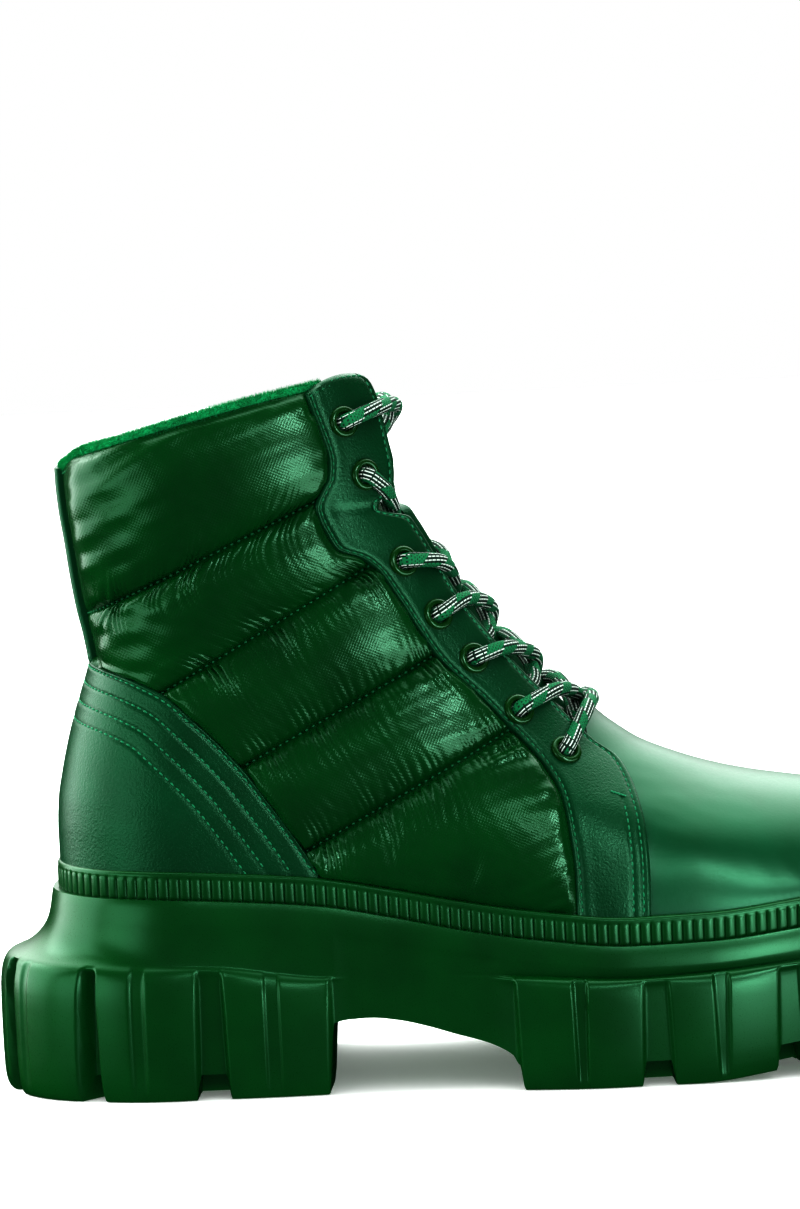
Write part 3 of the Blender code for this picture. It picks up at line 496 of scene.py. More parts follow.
def grained(name, dark, light, grain, depth, roughness, blotch=18.0, weave=0.0, **inputs):
    """A surface with fine grain of a real size, slow colour change and a little change in gloss.

    A weave adds two sets of crossing threads of that pitch to the relief.
    """
    material, tree, shader = new_material(name, **inputs)
    place = add_node(tree, "ShaderNodeTexCoord").outputs["Object"]
    slow = add_node(tree, "ShaderNodeTexNoise", {"Vector": place, "Scale": per_mm(blotch), "Detail": 4.0})
    fine = add_node(tree, "ShaderNodeTexNoise",
                    {"Vector": place, "Scale": per_mm(grain), "Detail": 3.0, "Roughness": 0.6})
    ramp = add_node(tree, "ShaderNodeValToRGB", {"Fac": slow.outputs["Fac"]})
    for element, place_on_ramp, code in zip(ramp.color_ramp.elements, COLOUR_EDGES, (dark, light)):
        element.position = place_on_ramp
        element.color = linear(code)
    gloss = add_node(tree, "ShaderNodeMapRange",
                     {"Value": fine.outputs["Fac"], "To Min": roughness - GLOSS_SPREAD,
                      "To Max": roughness + GLOSS_SPREAD})
    relief = fine.outputs["Fac"]
    if weave:
        turned = add_node(tree, "ShaderNodeMapping", {"Vector": place, "Rotation": (0, WEAVE_TURN, 0)})
        for way in "XZ":
            threads = add_node(tree, "ShaderNodeTexWave",
                               {"Vector": turned.outputs["Vector"], "Scale": per_mm(weave) * WAVE_UNIT,
                                "Distortion": 1.2, "Detail": 2.0}, bands_direction=way)
            relief = add_node(tree, "ShaderNodeMath", {0: relief, 1: threads.outputs["Fac"]}).outputs[0]
    bump = add_node(tree, "ShaderNodeBump", {"Height": relief, "Strength": 1.0, "Distance": depth * MM})
    tree.links.new(ramp.outputs["Color"], shader.inputs["Base Color"])
    tree.links.new(gloss.outputs["Result"], shader.inputs["Roughness"])
    tree.links.new(bump.outputs["Normal"], shader.inputs["Normal"])
    return material


# %% Materials
# coated nylon: thin and glossy, so each fold shows a narrow light beside a dark green; its weave, drawn
# coarser than the real one so that it shows, breaks these lights up
NYLON = grained("coated nylon", "#013F15", "#014919", 1.6, 0.013, 0.25, weave=0.74,
                Specular_Tint=linear("#B8FFE0"), Specular_IOR_Level=0.42)
# vamp cloth: the same nylon drawn smooth over a stiff toe, with a broad soft light
VAMP_NYLON = grained("smooth coated nylon", "#014826", "#015230", 0.9, 0.02, 0.33)
# leather: bluer green, fine pebbled grain, softer light than the nylon
LEATHER = grained("full grain leather", "#013F20", "#014928", 0.70, 0.14, 0.30, Specular_IOR_Level=0.42)
# rubber: saturated green, satin, with the fine spark finish of a mould
RUBBER = grained("moulded rubber", "#014314", "#014C18", 0.35, 0.015, 0.29)
# plush: bright green pile that scatters light, with no gloss
PLUSH = grained("plush pile", "#068A52", "#0CA86C", 0.8, 0.25, 0.90, blotch=4.0)
# felt footbed: the same pile worn flat
FELT = grained("felt footbed", "#067A3A", "#088A44", 0.6, 0.15, 0.95, blotch=6.0)
# enamel: dark olive lacquer over pressed metal
ENAMEL = grained("enamelled metal", "#093A08", "#0D440C", 0.25, 0.006, 0.26, Coat_Weight=0.2)
# thread: bonded polyester, a little paler than the leather that it sinks into
THREAD = grained("bonded thread", "#127650", "#17865C", 0.3, 0.03, 0.50)
# thread of the lace facings: a darker copy of the counter's thread, its extra darkness painted shade
SHADED_FACING_THREAD = grained("facing thread with painted shade", "#0E6A44", "#127A50", 0.3, 0.03, 0.50)
# thread of the quilt seams: a darker copy of the thread, its extra darkness painted shade of the seam valleys
SHADED_SEAM_THREAD = grained("seam thread with painted shade", "#0E6A40", "#147A4C", 0.3, 0.03, 0.50)

print("materials so far:", len(bpy.data.materials))

# %% [markdown]
# ## Braid of the lace
# The lace is a round braid of green yarns with white and black ones that come up in short dashes. A picture
# could show it, but steps of arithmetic on the lace's own UV map stay sharp at any size: along is in
# millimetres and around goes from 0 to 1. The numbers of the row, the dash and the block choose the yarn.

# %% Lace material
LACE_ROWS, LACE_TWIST = 24.0, 0.12
LACE_DASH, LACE_DASH_SHARE = 1.3, 0.80
LACE_BLOCK, LACE_BLOCK_SHARE = 13.0, 0.56
LACE_GROUP, TRACER_EDGE, ROW_SHIFT = 6.0, 0.13, 0.035
BRAID_STRENGTH, BRAID_RELIEF = 0.8, 0.9
# shade is painted shade: a dark green put in the gaps between the dashes, where the yarns dip
YARN_AND_SHADE_COLOURS = {"green": "#067A4C", "white": "#D6E2DB", "black": "#020A06", "shade": "#02321C"}
# Each step: its name, its operation, and numbers or the names of earlier steps
LACE_STEPS = (
    ("twist", "MULTIPLY", "along", LACE_TWIST), ("rows", "MULTIPLY_ADD", "around", LACE_ROWS, "twist"),
    ("row", "FLOOR", "rows"), ("within", "FRACT", "rows"),
    ("stagger", "MULTIPLY", "row", 0.5), ("dashes", "MULTIPLY_ADD", "along", 1 / LACE_DASH, "stagger"),
    ("dash", "FRACT", "dashes"), ("groups", "DIVIDE", "row", LACE_GROUP), ("group", "FLOOR", "groups"),
    ("shift", "MULTIPLY", "row", ROW_SHIFT), ("offset", "MULTIPLY_ADD", "group", 0.5, "shift"),
    ("blocks", "MULTIPLY_ADD", "along", 1 / LACE_BLOCK, "offset"), ("block", "FRACT", "blocks"),
    ("edge", "PINGPONG", "within", 0.5), ("odd", "FLOORED_MODULO", "row", 2.0),
    ("border", "LESS_THAN", "edge", TRACER_EDGE), ("dark", "MAXIMUM", "odd", "border"),
    ("under", "GREATER_THAN", "block", LACE_BLOCK_SHARE),
    ("between", "GREATER_THAN", "dash", LACE_DASH_SHARE),
    ("bow", "PINGPONG", "dash", 0.5), ("height", "MULTIPLY", "edge", "bow"),
)
# Each colour: its name, the step that chooses, the colour at 0 and the colour at 1; the last puts the painted
# shade between the dashes
LACE_COLOURS = (("tracer", "dark", "white", "black"), ("braid", "under", "tracer", "green"),
                ("colour", "between", "braid", "shade"))


def lace_material():
    """Round braid: rows of short dashes, white and black in turn, that wind slowly round the lace.

    For part of each block along the lace a group of rows goes under, and the green yarns cover it.
    """
    material, tree, shader = new_material("braided polyester lace", Roughness=0.7)
    own = add_node(tree, "ShaderNodeTexCoord").outputs["UV"]
    place = add_node(tree, "ShaderNodeSeparateXYZ", {"Vector": own})
    values = {"along": place.outputs["X"], "around": place.outputs["Y"]}
    for name, operation, *operands in LACE_STEPS:
        inputs = {socket: values.get(operand, operand) for socket, operand in enumerate(operands)}
        values[name] = add_node(tree, "ShaderNodeMath", inputs, operation=operation).outputs[0]
    values.update({yarn: linear(code) for yarn, code in YARN_AND_SHADE_COLOURS.items()})
    for name, choice, first, second in LACE_COLOURS:
        inputs = {"Factor": values[choice], 6: values[first], 7: values[second]}
        values[name] = add_node(tree, "ShaderNodeMix", inputs, data_type="RGBA").outputs[2]
    relief = {"Height": values["height"], "Strength": BRAID_STRENGTH, "Distance": BRAID_RELIEF * MM}
    bump = add_node(tree, "ShaderNodeBump", relief)
    tree.links.new(values["colour"], shader.inputs["Base Color"])
    tree.links.new(bump.outputs["Normal"], shader.inputs["Normal"])
    return material


LACE = lace_material()
print("lace material:", len(LACE.node_tree.nodes), "nodes")

# %% [markdown]
# ## Quilted quarters
# Each quarter is a panel of thin nylon over wadding, sewn down along four slanting seams. The cloth is cut
# longer than its backing, so it puffs up between the seams and gathers into short folds where the thread
# holds it. That is what a cloth run does well: the seams and the borders under the trim are held, the cloth
# is given spare length and a little pressure from below, and the folds form by themselves. The run is made
# large and the result is read back in millimetres, because the solver is tuned for bigger things.

# %% Panel of the quarters
# The collar row stands for the lateral side, and each quarter takes its own collar height
QUILT_ROWS = table("back_z front_z", (COLLAR_BACK, COLLAR_FRONT[LATERAL]), (132.4, 165.0), (109.0, 145.2),
                   (87.6, 119.8), (64.2, 98.3), (54.0, 42.0))
QUILT_BACK = table("z x", (54, 86), (64.2, 82.6), (76, 74.5), (87.6, 65.4), (98, 55), (109, 44.9),
                   (113.5, 38), (117, 33.5), (120.5, 31), (124, 30), (132.4, 28.4), (143, 27), (153, 25.9),
                   (163, 24.7), (175.5, 24.2))
EYESTAY_REAR = table("z x", (42, 160.3), (58, 160.1), (69.4, 159), (79, 156.8), (86.2, 152.7), (93.4, 147),
                     (99.5, 141.5), (105.4, 136.2), (117.7, 124.6), (133.3, 115.3), (142.6, 109.2),
                     (145.9, 104.9), (148.4, 99), (155.5, 95.1), (160.5, 93.7), (164.3, 95.2), (168.5, 97.3),
                     (173.2, 97.6), (182.7, 95.1), (188.2, 93.2), (192.6, 92.2))
COUNTER_EDGE = table("z x", (50, 96), (58.9, 91), (68.6, 85.4), (80, 77.8), (90.6, 70.1), (102.1, 59.7),
                     (111.5, 49.2), (116.3, 38.5), (118.7, 30.2))
BACKSTAY_HALF_WIDTH = 9.0
COUNTER_TOP = 118.7
TUCK = 5.0
PANEL_ROWS, PANEL_COLUMNS = 29, 120
CHANNELS = len(QUILT_ROWS["back_z"]) - 1
SEAM_LIFT = 0.3
START_LIFT = 3.4
PUFF_SQUARE = 2.3
PANEL_BACKING = -1.0
BACK_FADE = 16.0


# %% Grid of a quarter
def quilt_positions(rows, spread=np.asarray):
    """Places down the panel, a whole number at each seam, from the rows of each channel and their spread."""
    places = [channel + spread(np.arange(count) / count) for channel, count in enumerate(rows)]
    return np.append(np.concatenate(places), len(rows))


def quarter_panel(side, position, columns=PANEL_COLUMNS):
    """Side-view grid of a quarter, its share across each channel and the points that trim or thread holds."""
    index = np.arange(CHANNELS + 1)
    back_z = np.interp(position, index, QUILT_ROWS["back_z"])
    front_z = np.interp(position, index, [COLLAR_FRONT[side], *QUILT_ROWS["front_z"][1:]])
    back = (smooth(QUILT_BACK["z"], QUILT_BACK["x"], back_z), back_z)
    front = (smooth(EYESTAY_REAR["z"], EYESTAY_REAR["x"], front_z) + TUCK, front_z)
    x, z = even_rows(back, front, columns, side, COLLAR_CAMBER[side] * np.clip(1 - position, 0, 1))
    z = z - collar_dip(x, z) * np.clip(1 - 3 * position, 0, 1)[:, None]
    across = (position % 1)[:, None] + np.zeros_like(x)
    held = across == 0
    held |= x > smooth(EYESTAY_REAR["z"], EYESTAY_REAR["x"], z)
    held |= (x < smooth(COUNTER_EDGE["z"], COUNTER_EDGE["x"], z)) & (z < COUNTER_TOP)
    held |= half_width(x, z, side) < BACKSTAY_HALF_WIDTH
    held |= z < seat_z(x) + WELT_HEIGHT
    return x, z, across, held


# %% Cloth run
CLOTH_SCALE = 20.0
CLOTH_FRAMES = 24
CLOTH_CAP = 5.5
# A thin soft cloth with a little spare length, blown up from below
CLOTH = {"quality": 5, "mass": 0.2, "tension_stiffness": 20, "compression_stiffness": 20,
         "shear_stiffness": 8, "bending_stiffness": 1.5, "air_damping": 3, "shrink_min": -0.008,
         "use_pressure": True, "uniform_pressure_force": 4.0}


def cloth_run(points, quads, held):
    """Points of a sheet after a cloth run with spare length and pressure, the held points staying put."""
    mesh = bpy.data.meshes.new("cloth")
    mesh.from_pydata((points.reshape(-1, 3) * MM * CLOTH_SCALE).tolist(), [], quads.tolist())
    sheet = bpy.data.objects.new("cloth", mesh)
    scene.collection.objects.link(sheet)
    group = sheet.vertex_groups.new(name="held")
    group.add(np.flatnonzero(held).tolist(), 1.0, "REPLACE")
    modifier = sheet.modifiers.new("cloth", "CLOTH")
    settings = modifier.settings
    for key, value in CLOTH.items():
        setattr(settings, key, value)
    settings.vertex_group_mass = group.name
    settings.effector_weights.gravity = 0
    modifier.collision_settings.use_collision = False
    modifier.point_cache.frame_end = CLOTH_FRAMES
    for number in range(1, CLOTH_FRAMES + 1):
        scene.frame_set(number)
    result = np.empty(len(mesh.vertices) * 3)
    sheet.evaluated_get(bpy.context.evaluated_depsgraph_get()).data.vertices.foreach_get("co", result)
    bpy.data.objects.remove(sheet)
    bpy.data.meshes.remove(mesh)
    scene.frame_set(1)
    moved = result.reshape(points.shape) / (MM * CLOTH_SCALE) - points
    length = np.linalg.norm(moved, axis=-1, keepdims=True)
    return points + moved * np.minimum(1, CLOTH_CAP / np.maximum(length, 1e-9))


# %% [markdown]
# The cloth run gives the padded form and its broad folds. The small marks of sewing are placed on top: short
# gathers on both sides of each seam, long shallow creases that fan out from the back seam, and folds across
# the front end where the cloth is pulled in under the lace facing.

# %% Creases of the quarters
GATHER_PITCH, GATHER_HEIGHT = 2.4, 0.82
GATHER_ABOVE, GATHER_BELOW, GATHER_START = 2.8, 4.4, 0.35
SEAM_DEPTH, SEAM_WIDTH = 0.9, 0.9
FAN_LENGTH, FAN_HEIGHT, FAN_REACH = 6.0, 0.20, 58.0
FAN_START, FAN_FOOT = 6.0, 100.0
# Waves of the fan: seed, direction, stretch and share
FAN_WAVES = ((61, np.radians(118), 4.5, 1.0), (63, np.radians(85), 2.5, 0.5))
FOLD_LENGTH, FOLD_HEIGHT, FOLD_REACH = 4.0, 0.50, 16.0
FOLD_TURN, FOLD_START, FOLD_FOOT, FOLD_HEAD = np.radians(108), 4.0, 78.0, 115.0
CRINKLE_LENGTH, CRINKLE_HEIGHT = 3.2, 0.018
HEM, HEM_DEPTH, HEM_WIDTH = 1.7, 0.35, 0.5


def gathers(points, seams):
    """Lift of the short folds beside the seams: rounded bumps between stitches that die away from it."""
    along = grid_run(points, 1)
    down = grid_run(points, 0)
    total = np.zeros(points.shape[:2])
    for number, seam in enumerate(seams):
        s = along[seam][None, :] + np.zeros_like(down)
        d = down - down[seam][None, :]
        wander = 0.9 * ripple(s, 0 * s, 11.0, 40 + number)
        wave = 2 * np.abs(np.sin(np.pi * (s + 0.25 * d) / GATHER_PITCH + wander)) ** 0.8 - 1.25
        size = np.clip(0.9 + 0.4 * ripple(s, 0 * s, 17.0, 50 + number), 0.45, 1.6)
        reach = np.where(d > 0, GATHER_BELOW, GATHER_ABOVE) * (0.7 + 0.3 * size)
        total += size * wave * np.exp(-np.abs(d) / reach) * (1 - np.exp(-np.abs(d) / GATHER_START))
    return GATHER_HEIGHT * total


def seam_valleys(points, seams):
    """Depth of the sharp valleys that the seams pull, and of the hem below the collar."""
    down = grid_run(points, 0)
    valley = sum(np.exp(-np.abs(down - down[seam]) / SEAM_WIDTH) for seam in seams)
    return SEAM_DEPTH * valley + HEM_DEPTH * bell((down - HEM) / HEM_WIDTH)


def creases(x, z, front):
    """Lifts of the fan of creases at the back and of the folds at a distance from the front end."""
    back = x - heel_x(z)
    fan = sum(share * ripple(x, z, FAN_LENGTH, seed, turn, stretch)
              for seed, turn, stretch, share in FAN_WAVES)
    fan = fan * (1 - ease(back / FAN_REACH)) * ease(back / FAN_START) * ease((z - FAN_FOOT) / 20)
    reach = FOLD_REACH * (0.3 + 0.7 * ease((z - FOLD_FOOT) / 14))
    fold = ripple(x, z, FOLD_LENGTH, 62, FOLD_TURN, 5.0) * np.exp(-np.maximum(front, 0) / reach)
    low = 0.35 + 0.65 * ease((FOLD_HEAD - z) / 20)
    crinkle = ripple(x, z, CRINKLE_LENGTH, 64, 1.0, 1.6)
    return FAN_HEIGHT * fan + CRINKLE_HEIGHT * crinkle, FOLD_HEIGHT * fold * low * ease(front / FOLD_START)


# %% Quarters
FINE_ROWS = (34, 24, 24, 24, 76)
FINE_COLUMNS = {LATERAL: 262, MEDIAL: 190}
CALMING = np.array((1, 2, 3, 2, 1)) / 9
FULL_PUFF = 0.9


def calmed(moved):
    """The cloth's movement with its smallest folds evened out.

    Each point takes a weighted mean of five along its row and, inside the last channel, of five down it.
    """
    padded = np.pad(moved, ((0, 0), (2, 2), (0, 0)), "edge")
    moved = sum(weight * padded[:, i:i + moved.shape[1]] for i, weight in enumerate(CALMING))
    low = moved[-PANEL_ROWS:]
    even = sum(weight * low[i:len(low) - 4 + i] for i, weight in enumerate(CALMING))
    moved[4 - PANEL_ROWS:-2] = even[2:]
    return moved


def puffed_sheet(side):
    """The quarter's sheet from the cloth run, flat again under the backstay."""
    x, z, across, held = quarter_panel(side, quilt_positions([PANEL_ROWS] * CHANNELS))
    resting = skin(x, z, side, SEAM_LIFT)
    puff = START_LIFT * (1 - np.abs(2 * across - 1) ** PUFF_SQUARE) ** (1 / PUFF_SQUARE)
    sheet = skin(x, z, side, SEAM_LIFT + np.where(held, 0, puff))
    quads = grid_quads(*x.shape)
    moved = calmed(cloth_run(sheet, quads if side == MEDIAL else quads[:, ::-1], held) - resting)
    calm = ease((half_width(x, z, side) - BACKSTAY_HALF_WIDTH) / BACK_FADE)[..., None]
    return resting + moved * np.where(z[..., None] > COUNTER_TOP, calm, 1.0)


SEAM_LINES = np.cumsum(FINE_ROWS)[:-1]
for side_name, side in SIDES.items():
    position = quilt_positions(FINE_ROWS, crowd)
    x, z = quarter_panel(side, position, FINE_COLUMNS[side])[:2]
    columns = np.linspace(0, PANEL_COLUMNS - 1, FINE_COLUMNS[side])
    sheet = finer(puffed_sheet(side), position * PANEL_ROWS, columns)
    front = smooth(EYESTAY_REAR["z"], EYESTAY_REAR["x"], z) - x
    puffed = np.linalg.norm(sheet - skin(x, z, side, SEAM_LIFT), axis=-1)
    fan, folds = creases(x, z, front)
    detail = (gathers(sheet, SEAM_LINES) + fan) * ease(puffed / FULL_PUFF) + folds
    detail = detail - seam_valleys(sheet, SEAM_LINES)
    sheet = sheet + skin_normal(x, z, side) * detail[..., None]
    shape = slab(sheet, skin(x, z, side, PANEL_BACKING))
    quarter = add_piece(f"quarter_{side_name}", shape, NYLON, ["upper"])

# %% [markdown]
# ## Vamp
# The toe is one smooth piece of the same cloth, pulled down over a stiff last. It is drawn as lines from
# the seat up to the ridge, swept from under the lace facing to the toe. It only shows fine wrinkles where
# it bends behind the toe and where it was pulled in over the welt, so these are soft waves in code, not a
# cloth run.

# %% Vamp surface
VAMP_ROWS, VAMP_COLUMNS = 120, 64
VAMP_FOOT_X = 168.0
VAMP_TOP_Z = 101.8
VAMP_LIFT, TOE_SWELL = 0.35, 0.9
WELT_WAVES, BEND_WAVES = 0.04, 0.03
WAVE_RISE, BEND_X, SWELL_RISE = 16, 192, 24
halves = []
for side in SIDES.values():
    t = np.linspace(0, 1, VAMP_ROWS)
    run = np.interp(VAMP_FOOT_X, OUTLINE_X, OUTLINE_RUN)
    foot_x = seat_x(run + (OUTLINE_END - run) * t)
    foot_z = seat_z(foot_x) + SEAT_GAP
    top = np.linspace(VAMP_TOP_Z, foot_z[-1], 2000)
    top_run = np.append(0, np.cumsum(np.hypot(np.diff(top), np.diff(ridge_x(top)))))
    top_z = np.interp(t * top_run[-1], top_run, top)
    top_x = ridge_x(top_z)
    top_x[-1] = foot_x[-1]
    x, z = even_rows((foot_x, foot_z), (top_x, top_z), VAMP_COLUMNS, side)
    height = z - seat_z(x)
    near_welt = bell((height - WAVE_RISE) / 9) * ease((x - 195) / 30)
    near_bend = bell((x - BEND_X) / 16) * ease((height - 20) / 20)
    waves = WELT_WAVES * near_welt * ripple(x, z, 8.0, 11, 0.7, 3.5)
    waves = waves + BEND_WAVES * near_bend * ripple(x, z, 4.0, 12, 1.2, 4.0)
    swell = TOE_SWELL * bell((height - SWELL_RISE) / 10) * ease((x - 180) / 15)
    lift = VAMP_LIFT + swell + waves * ease(height / 8)
    halves.append((skin(x, z, side, lift), skin(x, z, side, PANEL_BACKING)))
vamp = [np.concatenate((lateral, medial[:, -2::-1]), axis=1) for lateral, medial in zip(*halves)]
add_piece("vamp", slab(*vamp), VAMP_NYLON, ["upper"])

# %% [markdown]
# ## Lining and collar
# The plush lining covers the inside of the shaft and rolls out over the collar as a thin fringe. The lining
# is a sheet a little inside the wall. The roll is a small tube along the collar, and thousands of short
# tapered tufts stand on it, because pile is only believable where its outline is broken.

# %% Lining
HEEL_DROP = 119.2
LINING_BELOW, LINING_SETBACK, LINING_LIFT = 0.5, 13.0, -1.2
# The collar row stands for the lateral side, and each half takes its own collar height
LINING_ROWS = table("back_run front_z", (0, COLLAR_FRONT[LATERAL] - LINING_BELOW), (43.5, 173.0),
                    (78.7, 150.3), (112.3, 125.5), (HEEL_DROP, 122.5), (184, 104.2), (230, 88.0))


def back_point(run):
    """Back edge of the upper's half: down the heel line, then forward along the seat."""
    z_heel = COLLAR_BACK - run * (COLLAR_BACK - seat_z(UPPER_HEEL) - SEAT_GAP) / HEEL_DROP
    x_seat = seat_x(run - HEEL_DROP)
    on_heel = run <= HEEL_DROP
    return np.where(on_heel, heel_x(z_heel), x_seat), np.where(on_heel, z_heel, seat_z(x_seat) + SEAT_GAP)


def lining_half(side, lift, rows=60, columns=44):
    """Half of the lining at a lift: rows from the collar down the heel and along the seat."""
    position = np.linspace(0, len(LINING_ROWS["back_run"]) - 1, rows)
    index = np.arange(len(LINING_ROWS["back_run"]))
    back = back_point(np.interp(position, index, LINING_ROWS["back_run"]))
    front_z = np.interp(position, index, [COLLAR_FRONT[side] - LINING_BELOW, *LINING_ROWS["front_z"][1:]])
    x, z = even_rows(back, (throat_edge_x(front_z) - LINING_SETBACK, front_z), columns, side,
                     COLLAR_CAMBER[side] * np.clip(1 - position, 0, 1))
    return skin(x, z - collar_dip(x, z) * np.clip(1 - 3 * position, 0, 1)[:, None], side, lift)


halves = [[lining_half(side, lift) for lift in (LINING_LIFT, -WALL)] for side in SIDES.values()]
add_piece("lining", slab(*round_heel(halves)), PLUSH, ["upper"])

# %% Collar roll
COLLAR_END, COLLAR_PROUD, ROLL_INSET = 97.5, 0.3, 0.9
COLLAR_STEPS, ROLL_SIDES = 160, 16
ROLL_RADIUS, ROLL_RISE = 1.4, 0.3


def collar_path(side, count):
    """Points and outward normals along the collar from the back seam to the lace facing."""
    back = (np.array([heel_x(COLLAR_BACK)]), np.array([COLLAR_BACK]))
    front = (np.array([COLLAR_END]), np.array([COLLAR_FRONT[side] + COLLAR_PROUD]))
    x, z = even_rows(back, front, count, side, [COLLAR_CAMBER[side]])
    z = z - collar_dip(x, z)
    return skin(x, z, side, -ROLL_INSET)[0], skin_normal(x, z, side)[0]


def collar_line(count):
    """The whole collar: from the lateral facing round the back seam to the medial facing."""
    near, far = collar_path(LATERAL, count), collar_path(MEDIAL, count)
    return [np.concatenate((a[::-1], b[1:])) for a, b in zip(near, far)]


path, out = collar_line(COLLAR_STEPS)
angles = np.linspace(0, 2 * np.pi, ROLL_SIDES, endpoint=False)
up = np.array((0.0, 0.0, 1.0))
middle = path + up * ROLL_RISE
ring = np.cos(angles)[None, :, None] * out[:, None] + np.sin(angles)[None, :, None] * up
roll = middle[:, None] + ROLL_RADIUS * ring
roll_shape = (roll.reshape(-1, 3), grid_quads(*roll.shape[:2], wrap_columns=True))
add_piece("collar_roll", roll_shape, PLUSH, ["upper"], closed=False)

# %% Pile of the collar
TUFTS, TUFT_LENGTH, TUFT_WIDTH = 20000, 1.4, 0.19
TUFT_SINK, TUFT_LEAN = 0.15, 0.35
# Angles round the roll, from its outer side over its top to its inner side
TUFT_ARC = (-0.9, np.pi + 0.7)
rng = np.random.default_rng(7)
place = rng.uniform(0, len(path) - 1.001, TUFTS)
low = place.astype(int)
mix = (place - low)[:, None]
turn = rng.uniform(*TUFT_ARC, TUFTS)[:, None]
out_here = out[low] * (1 - mix) + out[low + 1] * mix
along = path[low + 1] - path[low]
along /= np.linalg.norm(along, axis=1, keepdims=True)
aim = np.cos(turn) * out_here + np.sin(turn) * up
root = middle[low] * (1 - mix) + middle[low + 1] * mix + aim * (ROLL_RADIUS - TUFT_SINK)
lean = aim + rng.normal(0, TUFT_LEAN, (TUFTS, 3))
lean /= np.linalg.norm(lean, axis=1, keepdims=True)
length = rng.uniform(0.5, 1.0, (TUFTS, 1)) * TUFT_LENGTH
tip = root + lean * length
side_way = np.cross(lean, along)
side_way /= np.linalg.norm(side_way, axis=1, keepdims=True)
corners = [root + TUFT_WIDTH / 2 * (np.cos(a) * along + np.sin(a) * side_way)
           for a in np.linspace(0, 2 * np.pi, 3, endpoint=False)]
tufts = np.stack((*corners, tip), axis=1).reshape(-1, 3)
first = 4 * np.arange(TUFTS)[:, None]
blades = np.concatenate([first + np.array([[a, (a + 1) % 3, 3]]) for a in range(3)])
add_piece("collar_pile", (tufts, blades), PLUSH, sharp=0, closed=False, weld=False)

# %% [markdown]
# ## Leather trim
# Counter, backstay and lace facings are cut from one leather about 2 mm thick and lie on the nylon. Their
# cut edges are rounded, and each row of stitches pulls a shallow groove. The lift of the leather is its
# thickness, less a quarter-round near the edges, less a small bell-shaped trough under each stitch row.

# %% Leather sheets
EDGE_ROUND = 1.1
UNDER = -0.6
GROOVE_DEPTH, GROOVE_WIDTH = 0.40, 0.5


def leather_lift(edge, rows=()):
    """Lift of the leather from the distance to its nearest edge, with a trough at each stitch distance."""
    near = 1 - np.clip(edge / EDGE_ROUND, 0, 1)
    lift = OVERLAY_TOP - EDGE_ROUND * (1 - np.sqrt(1 - near ** 2))
    for distance in rows:
        lift = lift - GROOVE_DEPTH * bell((edge - distance) / GROOVE_WIDTH)
    return lift


# %% Heel counter
COUNTER_REACH, COUNTER_TUCK = 70.5, 2
COUNTER_ROWS, COUNTER_COLUMNS = 104, 84
COUNTER_STITCHES = (1.4, 6.4, 11.8, 16.8)


def counter_side(side):
    """Side-view grid of the counter's half and the distance of its points from the sloping edge."""
    forward = COUNTER_REACH * (1 - np.cos(np.linspace(0, np.pi / 2, COUNTER_COLUMNS)))[None, :]
    edge_reach = COUNTER_EDGE["x"] - heel_x(COUNTER_EDGE["z"])
    top = smooth(edge_reach[::-1], COUNTER_EDGE["z"][::-1], forward)
    bottom = seat_z(UPPER_HEEL + forward) + WELT_HEIGHT - COUNTER_TUCK
    rise = (1 - (1 - np.linspace(0, 1, COUNTER_ROWS)) ** 1.6)[:, None]
    z = bottom + (top - bottom) * rise
    x = heel_x(z) + forward
    points = skin(x, z, side, 0.0)
    gaps = np.linalg.norm(points[:, :, None] - points[-1], axis=-1)
    return x, z, gaps.min(axis=-1)


sheets = []
for side in SIDES.values():
    x, z, edge = counter_side(side)
    sheets.append((skin(x, z, side, leather_lift(edge, COUNTER_STITCHES)), skin(x, z, side, UNDER)))
add_piece("heel_counter", slab(*round_heel(sheets)), LEATHER, ["counter"])

# %% Backstay
BACKSTAY_STITCH = 1.6
BACKSTAY_ROWS, BACKSTAY_COLUMNS = 80, 24
BACKSTAY_TUCK, BACKSTAY_SINK = 4, 1.2


def backstay_x(z, across):
    """Side-view place of a point at a distance across from the back seam."""
    shaft = ease((z - ANKLE_HEIGHT) / (COLLAR_HEIGHT - ANKLE_HEIGHT))
    body = ANKLE_HALF_WIDTH + (COLLAR_HALF_WIDTH - ANKLE_HALF_WIDTH) * shaft
    return heel_x(z) + HEEL_REACH * (1 - (1 - (across / body) ** SQUARE) ** (1 / SQUARE))


sheets = []
for side in SIDES.values():
    across = BACKSTAY_HALF_WIDTH * (1 - (1 - np.linspace(0, 1, BACKSTAY_COLUMNS)) ** 1.5)[None, :]
    z = np.linspace(COUNTER_TOP - BACKSTAY_TUCK, COLLAR_BACK - COLLAR_DIP, BACKSTAY_ROWS)[:, None]
    z = z + np.zeros_like(across)
    x = backstay_x(z, across)
    edge = BACKSTAY_HALF_WIDTH - across + np.zeros_like(z)
    lift = leather_lift(edge, [BACKSTAY_STITCH]) - BACKSTAY_SINK * ease((COUNTER_TOP + 1 - z) / 3)
    sheets.append((skin(x, z, side, lift), skin(x, z, side, UNDER)))
add_piece("back_strip", slab(*round_heel(sheets)), LEATHER, ["backstay"])

# %% [markdown]
# ## Lace facings
# Each facing runs from the welt up beside the throat to the collar. A notch at the ankle lets it hinge, and
# leather creases there from the notch to its rear edge. Rows of the grid join pairs of points on both edges.

